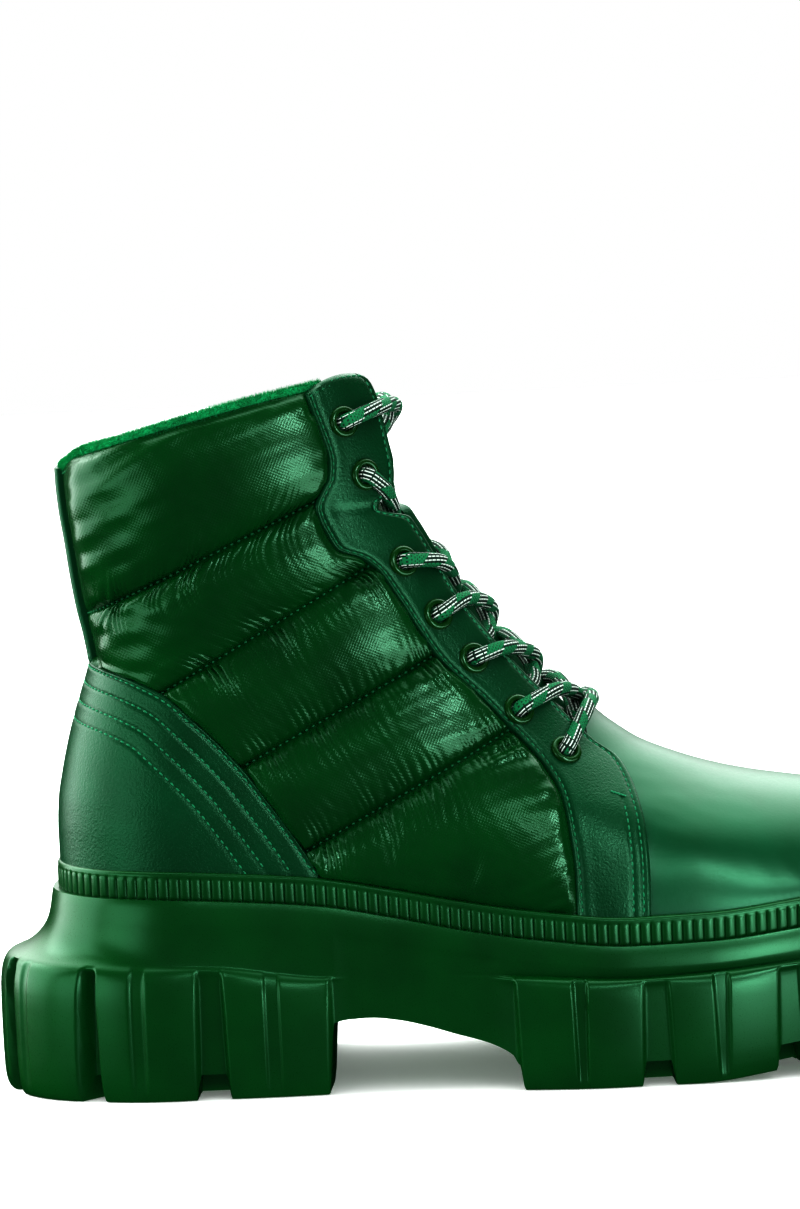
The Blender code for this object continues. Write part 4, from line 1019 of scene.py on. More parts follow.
# %% Grid of a facing
EYESTAY = table("rear_z rear_x front_z front_x",
                (44, 160.3, 43, 180.1), (58, 160.1, 58, 180.5),
                (69.4, 159, 68, 179.9), (79, 156.8, 77.5, 177.8),
                (86.2, 152.7, 85.1, 173.9), (93.4, 147, 90.3, 167.4), (99.5, 141.5, 95.8, 161.8),
                (105.4, 136.2, 102.2, 156), (117.7, 124.6, 115, 144.6), (133.3, 115.3, 132, 132),
                (142.6, 109.2, 143.5, 125.6), (145.9, 104.9, 151.2, 121.3), (148.4, 99, 155.8, 118.3),
                (153.5, 96, 157.4, 113.6), (157.5, 94.3, 158.6, 110.9), (160.5, 93.7, 160.2, 110.8),
                (164.3, 95.2, 164, 114.6), (168.5, 97.3, 168.5, 114.9), (173.2, 97.6, 174.5, 114.2),
                (182.7, 95.1, 183.0, 112.5), (187, 93.6, 188.2, 111.3), (189.8, 92.8, 193.0, 109.4),
                (191.6, 92.4, 195.6, 107.0))
FACING_ARCH, FACING_ARCH_FOOT = 2.1, 184
COLLAR_DROP_FOOT = 165
FACING_ROWS, FACING_COLUMNS = 172, 54


def facing_grid(side):
    """Side-view grid of a facing, rows from the welt to the collar and columns from rear to front edge."""
    index = np.arange(len(EYESTAY["rear_z"]), dtype=float)
    both_x = EYESTAY["rear_x"] + EYESTAY["front_x"]
    both_z = EYESTAY["rear_z"] + EYESTAY["front_z"]
    run = np.append(0, np.cumsum(np.hypot(np.diff(both_x), np.diff(both_z))))
    position = np.interp(np.linspace(0, run[-1], FACING_ROWS), run, index)
    rear_x, rear_z, front_x, front_z = (smooth(index, EYESTAY[key], position)[:, None]
                                        for key in ("rear_x", "rear_z", "front_x", "front_z"))
    t = crowd(np.linspace(0, 1, FACING_COLUMNS))[None, :]
    z = rear_z + (front_z - rear_z) * t
    z = z + FACING_ARCH * 4 * t * (1 - t) * ease((rear_z - FACING_ARCH_FOOT) / 9)
    lower = COLLAR_FRONT[LATERAL] - COLLAR_FRONT[side]
    return rear_x + (front_x - rear_x) * t, z - lower * ease((z - COLLAR_DROP_FOOT) / 28)


def facing_distances(points):
    """Distances of a facing's points from its rear, front and top edges."""
    across = grid_run(points, 1)
    along = grid_run(points, 0)
    return across, across[:, -1:] - across, along[-1:] - along


# %% Facings
FACINGS = {side: facing_grid(side) for side in SIDES.values()}
CREASE_Z, CREASE_START, CREASE_WIDTH, CREASE_DEPTH = 159.0, 97, 1.3, 0.6
HUMP_PLACE, HUMP_WIDTH, HUMP_HEIGHT = 3.4, 1.1, 0.14
FACING_WAVE, WAVE_HEIGHT = 14.0, 0.04
FACING_UNDER = UNDER - 0.6
# Distances of the stitch rows from the rear, front and top edges
FACING_REAR, FACING_FRONT, FACING_TOP = 1.5, 2.0, 1.6
GROOVE_START = 1.2
VAMP_STITCH, VAMP_STITCH_TOP = 4.8, 76.0
for side_name, side in SIDES.items():
    facing_x, facing_z = FACINGS[side]
    rear, front, top = facing_distances(skin(facing_x, facing_z, side, 0.0))
    nearest = np.minimum(np.minimum(rear, front), top)
    lift = leather_lift(nearest)
    beside_vamp = ease(VAMP_STITCH_TOP + 1 - facing_z)
    grooves = ((rear, FACING_REAR, 1), (front, FACING_FRONT, 1), (top, FACING_TOP, 1),
               (front, VAMP_STITCH, beside_vamp))
    for distance, row, share in grooves:
        groove = GROOVE_DEPTH * bell((distance - row) / GROOVE_WIDTH)
        lift = lift - groove * ease(nearest / GROOVE_START) * share
    crease = bell((facing_z - CREASE_Z) / CREASE_WIDTH) * ease((facing_x - CREASE_START) / 4)
    hump = bell((rear - HUMP_PLACE) / HUMP_WIDTH)
    lift = lift - CREASE_DEPTH * crease + HUMP_HEIGHT * hump
    lift = lift + WAVE_HEIGHT * ripple(facing_x, facing_z, FACING_WAVE, 21)
    sheet = slab(skin(facing_x, facing_z, side, lift), skin(facing_x, facing_z, side, FACING_UNDER))
    add_piece(f"facing_{side_name}", sheet, LEATHER, [f"eyestay_{side_name}"])

# %% [markdown]
# ## Stitches
# A stitch is a short bent length of thread that dives into the leather at both ends. All stitches of a kind
# are one mesh: a small template is copied along each row by its own tangent and normal.

# %% Stitch tools
STITCH_PITCH, STITCH_LENGTH, STITCH_RADIUS = 2.1, 1.6, 0.28


def stitches(points, normals, pitch=STITCH_PITCH, length=STITCH_LENGTH):
    """Points and faces of stitches along a line of points with normals."""
    run = grid_run(points, 0)
    centres = np.arange(pitch / 2, run[-1], pitch)
    steps = np.array((-0.5, -0.34, 0.0, 0.34, 0.5)) * length
    rise = np.array((-0.9, 0.1, 0.45, 0.1, -0.9)) * STITCH_RADIUS
    radius = np.array((0.0, 0.85, 1.0, 0.85, 0.0)) * STITCH_RADIUS
    at = centres[:, None] + steps

    def read(values, where):
        return np.stack([np.interp(where, run, values[:, axis]) for axis in range(3)], axis=-1)

    normal = read(normals, at)
    middle = read(points, at) + normal * rise[:, None]
    tangent = read(points, at + 0.2) - read(points, at - 0.2)
    tangent /= np.maximum(np.linalg.norm(tangent, axis=-1, keepdims=True), 1e-9)
    across = np.cross(tangent, normal)
    angles = np.linspace(0, 2 * np.pi, 6, endpoint=False)[:, None]
    ring = np.cos(angles) * across[..., None, :] + np.sin(angles) * normal[..., None, :]
    shape = middle[..., None, :] + radius[:, None, None] * ring
    count, rings, sides = shape.shape[:3]
    faces = grid_quads(rings, sides, wrap_columns=True)
    faces = (faces[None] + np.arange(count)[:, None, None] * rings * sides).reshape(-1, 4)
    return shape.reshape(-1, 3), faces


def stitch_row(x, z, side, lift, **kind):
    """Stitches along a side-view line at a lift."""
    x, z = np.asarray(x, float), np.asarray(z, float)
    return stitches(skin(x, z, side, lift), skin_normal(x, z, side), **kind)


# %% Stitches of the leather
SUNK = OVERLAY_TOP - GROOVE_DEPTH
TACK_X, TACK_Z, TACK_RUN, TACK_DROP, TACK_PITCH = 170.6, 77.4, 4.2, 1.6, 0.9


def line_at(distance, place, x, z):
    """Side-view line through a grid's rows where a distance that grows along each row reaches a place."""
    columns = np.arange(x.shape[1])
    at = [np.interp(place, row, columns) for row in distance]
    return [np.array([np.interp(t, columns, row) for t, row in zip(at, grid)]) for grid in (x, z)]


rows, facing_rows = [], []
for side in SIDES.values():
    x, z, edge = counter_side(side)
    for distance in COUNTER_STITCHES:
        found = np.abs(edge - distance).min(axis=0) < 1.0
        columns = np.flatnonzero(found)
        line_z = np.array([np.interp(-distance, -edge[:, column], z[:, column]) for column in columns])
        line_x = heel_x(line_z) + (x - heel_x(z))[0, columns]
        visible = line_z > seat_z(line_x) + WELT_HEIGHT
        rows.append(stitch_row(line_x[visible], line_z[visible], side, SUNK))
    z = np.linspace(COUNTER_TOP + 1, COLLAR_BACK - COLLAR_DIP - 1, 60)
    rows.append(stitch_row(backstay_x(z, BACKSTAY_HALF_WIDTH - BACKSTAY_STITCH), z, side, SUNK))
    facing_x, facing_z = FACINGS[side]
    rear, front, top = facing_distances(skin(facing_x, facing_z, side, 0.0))
    lines = ((rear, 1, FACING_REAR, np.inf, facing_rows), (front, -1, FACING_FRONT, np.inf, rows),
             (front, -1, VAMP_STITCH, VAMP_STITCH_TOP, rows))
    for distance, sign, place, end_z, kept in lines:
        line_x, line_z = line_at(distance * sign, place * sign, facing_x, facing_z)
        visible = (line_z > seat_z(line_x) + WELT_HEIGHT) & (line_z < end_z)
        kept.append(stitch_row(line_x[visible][:-2], line_z[visible][:-2], side, SUNK))
    tack = np.linspace(0, 1, 5)
    tack_x, tack_z = TACK_X + TACK_RUN * tack, TACK_Z - TACK_DROP * tack
    rows.append(stitch_row(tack_x, tack_z, side, OVERLAY_TOP, pitch=TACK_PITCH))
    below_top = np.argmin(np.abs(top - FACING_TOP), axis=0)
    columns = np.arange(4, FACING_COLUMNS - 4)
    line_x, line_z = facing_x[below_top[columns], columns], facing_z[below_top[columns], columns]
    facing_rows.append(stitch_row(line_x, line_z, side, SUNK))
add_piece("leather_stitches", join(rows), THREAD)
# the facing stitches take the thread darkened with painted shade
add_piece("facing_stitches", join(facing_rows), SHADED_FACING_THREAD)

# %% Stitches of the quilt seams
SEAM_STITCH, SEAM_STITCH_RISE = 1.1, 0.2
HEM_POSITION = 0.045
rows = []
for side in SIDES.values():
    position = np.append(np.arange(1.0, CHANNELS), HEM_POSITION)
    x, z = quarter_panel(side, position)[:2]
    depths = [SEAM_DEPTH] * (CHANNELS - 1) + [HEM_DEPTH]
    for line_x, line_z, depth in zip(x, z, depths):
        lift = SEAM_LIFT - depth + SEAM_STITCH_RISE
        rows.append(stitch_row(line_x, line_z, side, lift, length=SEAM_STITCH))
# the seam stitches take the thread darkened with painted shade of the valleys
add_piece("seam_stitches", join(rows), SHADED_SEAM_THREAD)

# %% [markdown]
# ## Welt
# A moulded rubber band round the foot of the upper, with upright ribs like half-round beads and a smooth
# lip along its top. One loop round the foot is repeated up a short profile, and the ribs swell and fade
# with height.

# %% Welt surface
RIB_PITCH, RIB_DEPTH = 2.85, 0.8
RIB_STEPS = 10
WELT_PROFILE = table("height out rib",
                     (-0.6, 0.0, 0.0), (-0.6, 2.2, 0.2), (0.0, 2.6, 0.8), (0.6, 2.7, 1.0), (4.6, 2.7, 1.0),
                     (5.2, 2.65, 0.7), (5.6, 2.5, 0.15), (5.9, 2.55, 0.0), (6.6, 2.5, 0.0), (7.1, 2.2, 0.0),
                     (7.3, 1.6, 0.0), (7.3, 0.0, 0.0))
ribs = int(round(OUTLINE_END / RIB_PITCH))
runs = np.linspace(0, OUTLINE_END, ribs * RIB_STEPS + 1)
groove = 1 - np.abs(np.cos(np.pi * runs / OUTLINE_END * ribs)) ** 0.4
seat = seat_z(seat_x(runs)) + SEAT_GAP
loops = [loop_points(runs, WELT_GAP + out - RIB_DEPTH * rib * groove, seat + height)
         for height, out, rib in zip(*WELT_PROFILE.values())]
welt = np.stack(loops)
welt_shape = (welt.reshape(-1, 3), grid_quads(*welt.shape[:2], wrap_rows=True, wrap_columns=True))
add_piece("welt_band", welt_shape, RUBBER, ["welt"])

# %% [markdown]
# ## Sole
# One moulded unit. Below the welt the side falls in a smooth hollow to a row of tall lugs, each with a
# shallow upright recess, and pockets lie between the lugs at the floor. Along the foot a lug share goes
# softly from 0 in a notch to 1 on a lug, and it blends two profiles from the rim down to the floor. Extra
# lines round the edges off. Underneath, a recess runs round a pad with bars across it.

# %% Sizes and tables of the sole
LUGS = table("start end", (-9, 9), (12.5, 30.4), (33.5, 56.5), (63.6, 92.8),
             (145.5, 178.6), (185.5, 214.5), (220.5, 248), (254, 279.5), (285, 322))
RECESS = table("start end depth taper",
               (15.6, 18.2, 0.6, 0.0), (41.0, 44.8, 0.6, 0.0), (74.6, 79.4, 0.6, 0.0),
               (160.3, 164.9, 1.3, 0.3), (197.0, 201.8, 1.3, 0.4), (231.5, 236.0, 1.2, 0.4),
               (264.0, 268.4, 1.1, 0.4))
RECESS_SIDE = 0.8
SOLE = table("x flare lug_top ground",
             (19, 10.5, 38.0, 0), (60, 10.0, 36.5, 0), (91, 9.0, 32.5, 0), (143, 8.5, 31.0, 0),
             (176, 8.5, 29.6, 0), (190, 8.5, 30.0, 0), (212, 8.5, 31.4, 2.2), (240, 8.5, 33.5, 6.0),
             (262, 8.5, 36.0, 10.0), (277, 8.5, 38.5, 12.5))
ARCH = table("x height",
             (90, 18.5), (96, 20.4), (103, 20.7), (111, 19.8), (119, 18.0), (127, 15.6), (135, 13.3),
             (140, 11.1), (144, 8.2))
RIM, RIM_DRAFT, RIM_BAND = 4.6, 1.2, 5.5
NOTCH_SHARE, NOTCH_HEIGHT, WAIST_OUT = 0.3, 7.0, 0.9
LUG_SIDE, LUG_TAPER, LUG_BULGE = 1.4, 0.8, 0.7
PAD_GAP, PAD_RISE, BAR_PITCH, BAR_GROOVE = 7.0, 0.4, 13.0, 4.0
TREAD_WIDTH, TREAD_DRAFT, TREAD_RECESS = 13.0, 2.0, 8.0
SOLE_STEPS = 900
PROFILE_STEPS = 46

# Hollow above the lugs, and the lug's face: how far it lies behind the full face, at the heel and at the
# forefoot
COVE = table("out drop", (0.06, 0.22), (0.17, 0.44), (0.34, 0.64), (0.56, 0.81), (0.80, 0.93))
LUG_FACE = table("drop heel fore",
                 (0.0, 3.2, 2.2), (0.03, 2.0, 1.0), (0.08, 1.1, 0.35), (0.16, 0.45, 0.05), (0.3, 0.1, 0.0),
                 (0.6, 0.0, 0.0), (0.85, 0.15, 0.15), (0.94, 0.6, 0.6), (0.985, 1.4, 1.4), (1.0, 2.6, 2.6))

# %% Lugs along the foot
runs = np.linspace(0, OUTLINE_END, SOLE_STEPS)
x = seat_x(runs)
seat = seat_z(x)


def lug_share(inset):
    """1 on a lug and 0 in a notch, with soft sides; an inset narrows the lugs."""
    shares = [ease((runs - start - inset) / LUG_SIDE + 0.7) * ease((end - inset - runs) / LUG_SIDE + 0.7)
              for start, end in zip(*LUGS.values())]
    return np.max(shares, axis=0)


def recess_depth(drop):
    """Depth of the shallow recesses down the lugs, which narrow towards the floor."""
    total = np.zeros_like(runs)
    for start, end, depth, taper in zip(*RECESS.values()):
        narrow = taper * drop * (end - start) / 2
        inside = ease((runs - start - narrow) / RECESS_SIDE) * ease((end - narrow - runs) / RECESS_SIDE)
        total += depth * inside
    return total


def bulge_share():
    """Rounding of each lug's face in plan: 1 in its middle, 0 at its sides."""
    total = np.zeros_like(runs)
    for start, end in zip(*LUGS.values()):
        total += np.clip(1 - ((2 * runs - start - end) / (end - start)) ** 2, 0, 1)
    return total


print("lugs along each side:", len(LUGS["start"]))

# %% Sizes at each place along the foot
waist = ease((x - ARCH["x"][0]) / 2) * ease((ARCH["x"][-1] - x) / 2) * (1 - lug_share(0))
hollow = ease((x - ARCH["x"][0] + 6) / 14) * ease((ARCH["x"][-1] + 6 - x) / 14)
end_share = np.interp(runs, OUTLINE_RUN, OUTLINE[LATERAL][1][0])
flare = smooth(SOLE["x"], SOLE["flare"], x)
face = flare + (np.where(end_share < 0, HEEL_FLARE, TOE_FLARE) - flare) * end_share ** 2
band = RIM + RIM_DRAFT
notch = band + NOTCH_SHARE * np.maximum(face - band, 0)
notch = notch + (RIM + WAIST_OUT - notch) * hollow
lug_top = smooth(SOLE["x"], SOLE["lug_top"], x)
ground = smooth(SOLE["x"], SOLE["ground"], x)
arch = smooth(ARCH["x"], ARCH["height"], x)
foot = lug_share(LUG_TAPER)
notch_floor = ground + NOTCH_HEIGHT * (1 - foot)
bottom = notch_floor + (arch - notch_floor) * waist
tall = lug_top - bottom
cove = seat - RIM_BAND - lug_top
fore = ease((x - 100) / 40)

# %% Profile of the sole
level = np.ones_like(runs)
profile = [(RIM * level - 1.5, seat), (RIM * level, seat), (RIM * level + 0.3, seat - 0.5),
           (band * level, seat - RIM_BAND)]
top_out = face - LUG_FACE["heel"][0] - 0.6 * fore
for out, drop in zip(*COVE.values()):
    flow = band + out * (top_out - band)
    profile.append((flow + (np.minimum(flow, notch) - flow) * hollow, seat - RIM_BAND - drop * cove))
for drop, heel_back, fore_back in zip(*LUG_FACE.values()):
    cut = ease(drop / 0.10)
    share = 1 - cut * (1 - lug_share(LUG_TAPER * drop))
    share = share + (lug_share(0) - share) * hollow
    recess = recess_depth(drop) * ease(drop / 0.05) * (1 - ease(drop * 6 - 5))
    full = face - LUG_BULGE * (1 - bulge_share()) * cut - recess
    reach = notch + (full - notch) * share - (heel_back + (fore_back - heel_back) * fore) * share
    profile.append((reach, lug_top - drop * tall))
reach = profile[-1][0]
bars = ease(2.2 * np.abs(np.sin(np.pi * x / BAR_PITCH)) - 0.4)
deep = np.where(hollow > 0.2, np.maximum(arch, bottom) + 1, ground + TREAD_RECESS)
pad = np.where(hollow > 0.2, np.maximum(arch, bottom) + 1, ground + PAD_RISE + BAR_GROOVE * (1 - bars))
web = np.where(hollow > 0.2, bottom, np.minimum(bottom, ground + PAD_RISE))
mid_tread = (reach - TREAD_WIDTH) / 2
profile += [(mid_tread + 1.0, bottom), (mid_tread, bottom + 0.8), (mid_tread - 1.0, bottom),
            (mid_tread - 1.4, web), (-TREAD_WIDTH * level, web), (-TREAD_WIDTH * level - 0.5, web + 0.6),
            (-(TREAD_WIDTH + TREAD_DRAFT) * level, deep), (-(TREAD_WIDTH + PAD_GAP) * level, deep),
            (-(TREAD_WIDTH + PAD_GAP) * level - 1.0, pad)]
keys = np.array(profile)


# %% Sole mesh
def along_profile(keys, count):
    """Profiles read at more places: a monotone cubic through the key rows of every station at once."""
    slope = row_slopes(np.diff(keys, axis=0))
    t = np.linspace(0, len(keys) - 1, count)
    i = np.clip(t.astype(int), 0, len(keys) - 2)
    u = (t - i)[:, None, None]
    start = (1 + 2 * u) * (1 - u) ** 2 * keys[i] + u * (1 - u) ** 2 * slope[i]
    return start + u ** 2 * (3 - 2 * u) * keys[i + 1] + u ** 2 * (u - 1) * slope[i + 1]


fine = along_profile(keys, PROFILE_STEPS)
sole = np.stack([loop_points(runs, offset, height) for offset, height in fine])
add_piece("moulded_sole", capped(sole), RUBBER, ["outsole"], sharp=50)

# %% [markdown]
# ## Footbed and tongue
# A plain felt footbed lies inside, and a padded tongue of the same nylon closes the throat behind the lace.
# Both follow lines that are there already: the footbed is a stack of loops inside the seat outline, and the
# tongue is the ridge line, sunk by a depth and curled across the foot.

# %% Footbed
FOOTBED = table("out height", (-4.2, 0.0), (-4.0, 1.2), (-4.4, 2.6), (-5.4, 3.4), (-7.0, 3.5), (-16.0, 3.3))
FOOTBED_STEPS = 120
runs = OUTLINE_END * cosine_steps(FOOTBED_STEPS)
seat = seat_z(seat_x(runs)) + SEAT_GAP
bed = np.stack([loop_points(runs, out, seat + height) for out, height in zip(*FOOTBED.values())])
add_piece("footbed", capped(bed), FELT, ["insole"])

# %% Tongue
TONGUE = table("ridge_z depth curl half",
               (90, 3.6, 0.0150, 14), (97, 5.0, 0.0165, 18), (106, 6.8, 0.0180, 21.5),
               (118, 8.6, 0.0195, 23.5), (135, 9.8, 0.0195, 25), (155, 11.0, 0.0185, 26),
               (175, 11.0, 0.0185, 26), (189, 11.0, 0.0195, 24))
TONGUE_THICKNESS, TONGUE_TOP, TONGUE_WAVES = 3.6, 190.5, 0.25
TONGUE_ROWS, TONGUE_COLUMNS = 120, 60
level = np.linspace(TONGUE["ridge_z"][0], TONGUE["ridge_z"][-1], TONGUE_ROWS)[:, None]
half = smooth(TONGUE["ridge_z"], TONGUE["half"], level)
y = half * np.linspace(-1, 1, TONGUE_COLUMNS)[None, :]
curl = smooth(TONGUE["ridge_z"], TONGUE["curl"], level)
depth = smooth(TONGUE["ridge_z"], TONGUE["depth"], level) + curl * y ** 2
rim = np.sqrt(np.clip(1 - np.abs(y / half) ** 6, 0, 1)) * np.sqrt(np.clip((TONGUE_TOP - level) / 6, 0, 1))
waves = TONGUE_WAVES * ripple(level + 0 * y, y, 16.0, 31)
outer = ridge_point(level, y, depth + TONGUE_THICKNESS / 2 * (1 - rim) + waves)
inner = ridge_point(level, y, depth + TONGUE_THICKNESS - TONGUE_THICKNESS / 2 * (1 - rim) + waves)
tongue = add_piece("padded_tongue", slab(outer, inner), NYLON, ["tongue"])

# %% [markdown]
# ## Eyelets and lace
# Each eyelet is a pressed ring with a rolled rim and a short barrel through the leather. The lace starts
# with a bar between the lowest pair and climbs on both sides in turn: down through an eyelet, under the
# facing, over the throat and into the next eyelet of the other side. Its ends stop inside the top eyelets.
# A curve with a round bevel would do for its shape, but a grid along the path also gives the UV map that
# the braid follows.

# %% Eyelets
EYELET_OUTER, EYELET_HOLE, EYELET_HEIGHT, BARREL = 4.4, 2.5, 1.1, 3.2
EYELET_SIDES, RIM_STEPS = 40, 11


def eyelet_seat(row, side):
    """Where an eyelet sits on its facing, and the direction it faces."""
    x, z = EYELETS["x"][row], EYELETS["z"][row]
    return skin(x, z, side, OVERLAY_TOP), skin_normal(np.array(x), np.array(z), side)


bend = np.linspace(0, np.pi, RIM_STEPS)
rim_middle, rim_half = (EYELET_HOLE + EYELET_OUTER) / 2, (EYELET_OUTER - EYELET_HOLE) / 2
radius = np.concatenate(([EYELET_HOLE], rim_middle - rim_half * np.cos(bend), [EYELET_OUTER - 0.2]))
height = np.concatenate(([-BARREL], 0.35 + (EYELET_HEIGHT - 0.1) * np.sin(bend), [-0.5]))
angles = np.linspace(0, 2 * np.pi, EYELET_SIDES, endpoint=False)
rings = []
for side in SIDES.values():
    for row in range(len(EYELETS["x"])):
        foot, out = eyelet_seat(row, side)
        level_way = np.cross(out, (0.0, 0.0, 1.0))
        level_way /= np.linalg.norm(level_way)
        upright = np.cross(level_way, out)
        circle = np.cos(angles)[:, None] * level_way + np.sin(angles)[:, None] * upright
        shape = foot + radius[:, None, None] * circle + height[:, None, None] * out
        rings.append((shape.reshape(-1, 3), grid_quads(*shape.shape[:2], wrap_rows=True, wrap_columns=True)))
EYELET_NODES = [f"eyelet_{side_name}_{row + 1}" for side_name in SIDES for row in range(len(EYELETS["x"]))]
add_piece("eyelet_rings", join(rings), ENAMEL, EYELET_NODES, sharp=45)

# %% Way of the lace
LACE_RADIUS = 2.1
STRANDS = table("edge_z edge_lift ridge_z depth under_z",
                (186.0, 1.0, 186.0, 0.5, 177.0), (162.5, -1.5, 154.0, 12.0, 149.0),
                (141.5, 1.0, 137.0, 7.0, 133.0), (131.5, 0.6, 129.0, 1.6, 121.0),
                (117.0, 0.6, 114.5, 1.5, 107.0), (104.0, 0.6, 102.3, 1.3, 97.5))
LACE_OVER, LACE_IN, LACE_UNDER = 1.2, 0.2, 5.0
EDGE_SETBACK, EDGE_SINK = 1.5, 4.5
THROAT_SIDE, THROAT_SINK = 9.0, 4.0
BAR_Z, BAR_RISE = 100.0, 2.3
BAR_EDGE_X, BAR_EDGE_Z, BAR_LIFT = 164.0, 98.0, 0.6
STRAND_STAGGER = 1.4
LAST_ROW = len(EYELETS["x"]) - 1


def through_eyelet(row, side):
    """Lace points from on top of an eyelet, down its hole, to the inside of the facing."""
    foot, out = eyelet_seat(row, side)
    return [foot + out * (EYELET_HEIGHT + LACE_OVER), foot + out * LACE_IN, foot - out * LACE_UNDER]


def over_edge(x, z, side, lift):
    """Middle of the lace where it lies on a facing."""
    return skin(x, z, side, OVERLAY_TOP + LACE_RADIUS + lift)


def crossing(row, side):
    """Lace points from under one facing's edge over the throat to the other facing's edge, one row up."""
    edge_z, edge_lift, ridge_z, depth, under_z = (STRANDS[key][row] for key in STRANDS)
    return [skin(throat_edge_x(under_z) - EDGE_SETBACK, under_z, -side, -EDGE_SINK),
            ridge_point((ridge_z + under_z) / 2, -side * THROAT_SIDE, depth + THROAT_SINK),
            ridge_point(ridge_z, 0.0, depth + STRAND_STAGGER * side),
            over_edge(throat_edge_x(edge_z), edge_z, side, edge_lift)]


def lace_half(side):
    """Points of one half of the lace, from the middle of the bar to the inside of a top eyelet."""
    points = [ridge_point(BAR_Z, 0.0, -BAR_RISE), over_edge(BAR_EDGE_X, BAR_EDGE_Z, side, BAR_LIFT)]
    points += through_eyelet(LAST_ROW, side)
    for row in range(LAST_ROW - 1, -1, -1):
        points += crossing(row, -side)
        side = -side
        points += through_eyelet(row, side)
    return np.array([np.reshape(point, 3) for point in points])


# %% Lace tube
LACE_SIDES, LACE_STEP = 16, 0.9
CORNER_CUT, CUTS = 0.22, 4


def rounded_path(points, step):
    """Line of points with its corners cut off several times over, read at even steps of its length."""
    path = points
    for _ in range(CUTS):
        cut = np.empty((2 * len(path) - 2, 3))
        cut[0::2] = (1 - CORNER_CUT) * path[:-1] + CORNER_CUT * path[1:]
        cut[1::2] = CORNER_CUT * path[:-1] + (1 - CORNER_CUT) * path[1:]
        path = np.concatenate((path[:1], cut, path[-1:]))
    run = grid_run(path, 0)
    even = np.linspace(0, run[-1], int(run[-1] / step))
    return np.stack([np.interp(even, run, path[:, axis]) for axis in range(3)], axis=-1), even


def cord(path, radius, sides):
    """Tube along a path with a frame that doesn't twist; the first and last column are the same line."""
    tangent = np.gradient(path, axis=0)
    tangent /= np.linalg.norm(tangent, axis=1, keepdims=True)
    across = np.empty_like(path)
    way = np.cross(tangent[0], (0.3, 0.2, 1.0))
    for number, along in enumerate(tangent):
        way = way - along * np.dot(way, along)
        way = way / np.linalg.norm(way)
        across[number] = way
    upright = np.cross(tangent, across)
    angles = np.linspace(0, 2 * np.pi, sides + 1)[None, :, None]
    return path[:, None] + radius * (np.cos(angles) * across[:, None] + np.sin(angles) * upright[:, None])


halves = [lace_half(LATERAL), lace_half(MEDIAL)]
whole = np.concatenate((halves[0][::-1], halves[1][1:]))
path, run = rounded_path(whole, LACE_STEP)
tube = cord(path, LACE_RADIUS, LACE_SIDES)
around = np.linspace(0, 1, LACE_SIDES + 1)[None, :]
uv = np.stack(np.broadcast_arrays(run[:, None], around), axis=-1).reshape(-1, 2)
LACE_NODES = [f"lace_cross_{row + 1}" for row in range(LAST_ROW)] + ["lace_bar"]
add_piece("lace", (tube.reshape(-1, 3), grid_quads(*tube.shape[:2])), LACE, LACE_NODES, uv=uv)

# %% [markdown]
# ## Studio and camera
# A white paper sweep, an even light from all round and a soft sun overhead give the plain colours. The
# lights in the table are cards, as a product studio uses them: apart from the left one they show only in
# reflections, and each stands where one part of the boot mirrors it. The key lights the folds beside the
# lace facing, the right high card the vamp above the welt, and the right and floor cards the toe and the
# front ends of the channels. A glow high up behind the boot runs along the ridge. The rest of the room is
# dark in reflections, so the side that faces the camera stays deep green, and the view's gamma deepens it
# further.

# %% Floor
floor_mesh = bpy.data.meshes.new("studio_floor")
FLOOR_HALF = 4.0
corners = [(FLOOR_HALF * a, FLOOR_HALF * b, 0) for a, b in ((-1, -1), (1, -1), (1, 1), (-1, 1))]
floor_mesh.from_pydata(corners, [], [(0, 1, 2, 3)])
floor = bpy.data.objects.new("studio_floor", floor_mesh)
floor_mesh.materials.append(grained("white paper sweep", "#F6F6F6", "#FAFAFA", 1.0, 0.01, 0.8, blotch=200.0,
                                    Emission_Color=(1, 1, 1, 1), Emission_Strength=0.20))
floor.visible_diffuse = False
floor.visible_glossy = False
scene.collection.objects.link(floor)

# %% Lights
# Each light: its place, the point it faces, its size, its turn in degrees and its power
LIGHTS = {
    "left": ((-0.86, 0.22, 0.34), (0.0, 0.0, 0.09), (0.95, 0.8), 0.0, 13.5),
    "left front": ((-0.74, -0.50, 0.13), (0.0, 0.0, 0.10), (0.50, 0.36), 0.0, 2.6),
    "key": ((0.05, -0.87, 0.60), (0.02, -0.04, 0.08), (0.26, 0.18), 0.0, 1.8),
    "right high": ((0.40, -0.78, 0.57), (0.07, -0.04, 0.05), (0.18, 0.16), 0.0, 4.5),
    "right": ((0.34, -0.74, 0.09), (0.08, -0.03, 0.06), (0.26, 0.18), 0.0, 3.2),
    "card": ((0.410, -0.475, 0.003), (0.410, -0.475, 1.0), (0.80, 0.50), 74.0, 10.0),
}
OVERHEAD, OVERHEAD_ANGLE = 1.1, np.radians(100)
for name, (place, aim, size, turn, power) in LIGHTS.items():
    lamp = bpy.data.lights.new(name, "AREA")
    lamp.shape = "RECTANGLE"
    lamp.size, lamp.size_y = size
    lamp.energy = power
    light = bpy.data.objects.new(name, lamp)
    light.location = place
    way = (Vector(aim) - Vector(place)).to_track_quat("-Z", "Y") @ Quaternion((0, 0, 1), np.radians(turn))
    light.rotation_euler = way.to_euler()
    light.visible_camera = False
    light.visible_diffuse = name == "left"
    scene.collection.objects.link(light)
overhead = bpy.data.lights.new("overhead", "SUN")
overhead.energy = OVERHEAD
overhead.angle = OVERHEAD_ANGLE
sky = bpy.data.objects.new("overhead", overhead)
sky.visible_glossy = False
scene.collection.objects.link(sky)
print("lights:", ", ".join(LIGHTS), "and overhead")

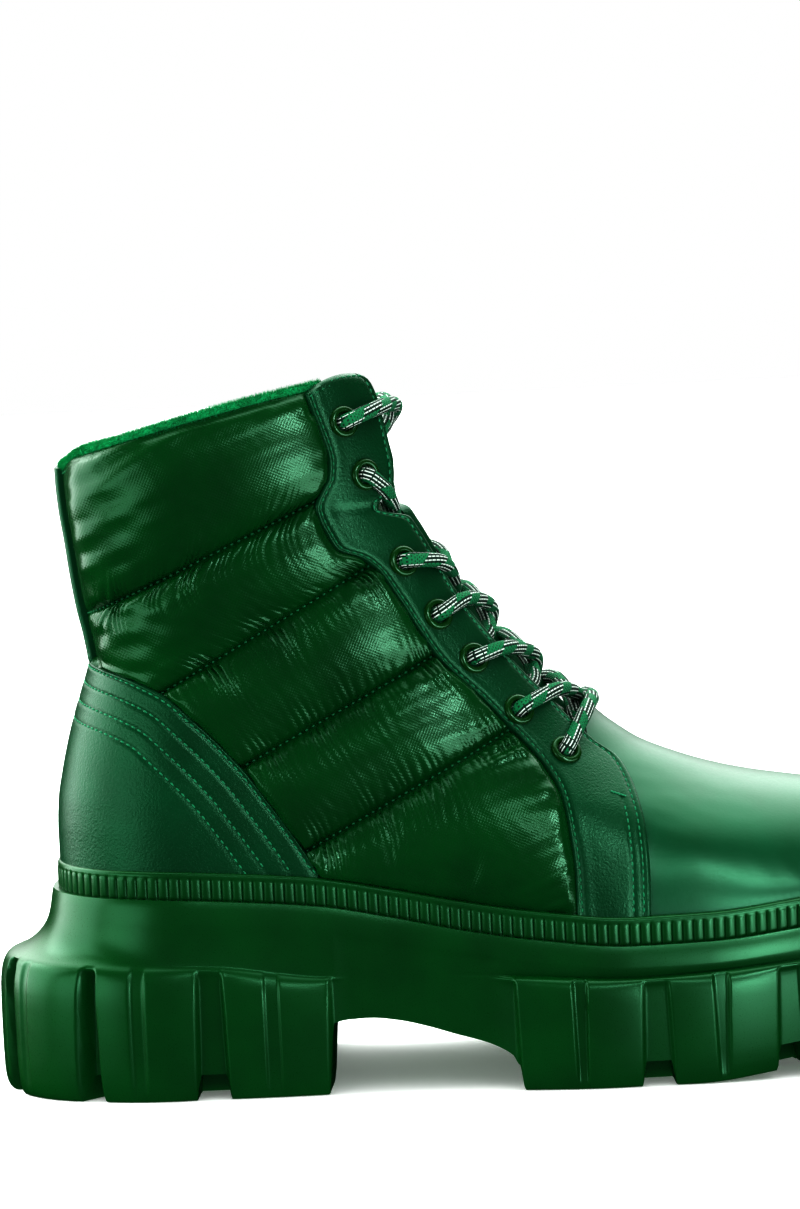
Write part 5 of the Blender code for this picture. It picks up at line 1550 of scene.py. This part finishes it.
# %% Room
AMBIENT = 1.6
GLOW, GLOW_WAY, GLOW_EDGE, GLOW_CORE = 5.5, (0.0, 0.55, 0.835), 0.50, 0.95
VIEW_GAMMA = 0.65
world = bpy.data.worlds.new("studio")
scene.world = world
world.use_nodes = True
world.cycles.sampling_method = "NONE"
tree = world.node_tree
way = add_node(tree, "ShaderNodeTexCoord").outputs["Generated"]
toward = add_node(tree, "ShaderNodeVectorMath", {0: way, 1: GLOW_WAY}, operation="DOT_PRODUCT")
spread = {"From Min": GLOW_EDGE, "From Max": GLOW_CORE, "To Min": 0.0, "To Max": GLOW}
glow = add_node(tree, "ShaderNodeMapRange", {"Value": toward.outputs["Value"], **spread},
                interpolation_type="SMOOTHSTEP")
ray = add_node(tree, "ShaderNodeLightPath").outputs
filled = add_node(tree, "ShaderNodeMath", {0: ray["Is Diffuse Ray"], 1: AMBIENT, 2: ray["Is Camera Ray"]},
                  operation="MULTIPLY_ADD").outputs[0]
strength = add_node(tree, "ShaderNodeMath", {0: ray["Is Glossy Ray"], 1: glow.outputs["Result"], 2: filled},
                    operation="MULTIPLY_ADD").outputs[0]
background = tree.nodes["Background"]
background.inputs["Color"].default_value = (1, 1, 1, 1)
tree.links.new(strength, background.inputs["Strength"])
scene.view_settings.view_transform = "Standard"
scene.view_settings.gamma = VIEW_GAMMA

# %% Camera
TARGET = Vector((-0.028, -0.0007, 0.130))
DISTANCE = 1.5
ELEVATION = np.radians(4.9)
ROLL = np.radians(2.8)
LENS = 159.5
forward = Vector((0, np.cos(ELEVATION), -np.sin(ELEVATION)))
right = Vector((1, 0, 0))
upward = right.cross(forward)
turned_right = right * np.cos(ROLL) - upward * np.sin(ROLL)
turned_up = right * np.sin(ROLL) + upward * np.cos(ROLL)
pose = Matrix((turned_right, turned_up, -forward)).transposed().to_4x4()
pose.translation = TARGET - forward * DISTANCE
lens = bpy.data.cameras.new("camera")
lens.lens = LENS
camera = bpy.data.objects.new("camera", lens)
camera.matrix_world = pose
scene.collection.objects.link(camera)
scene.camera = camera
print("camera:", LENS, "mm lens at", DISTANCE, "m")
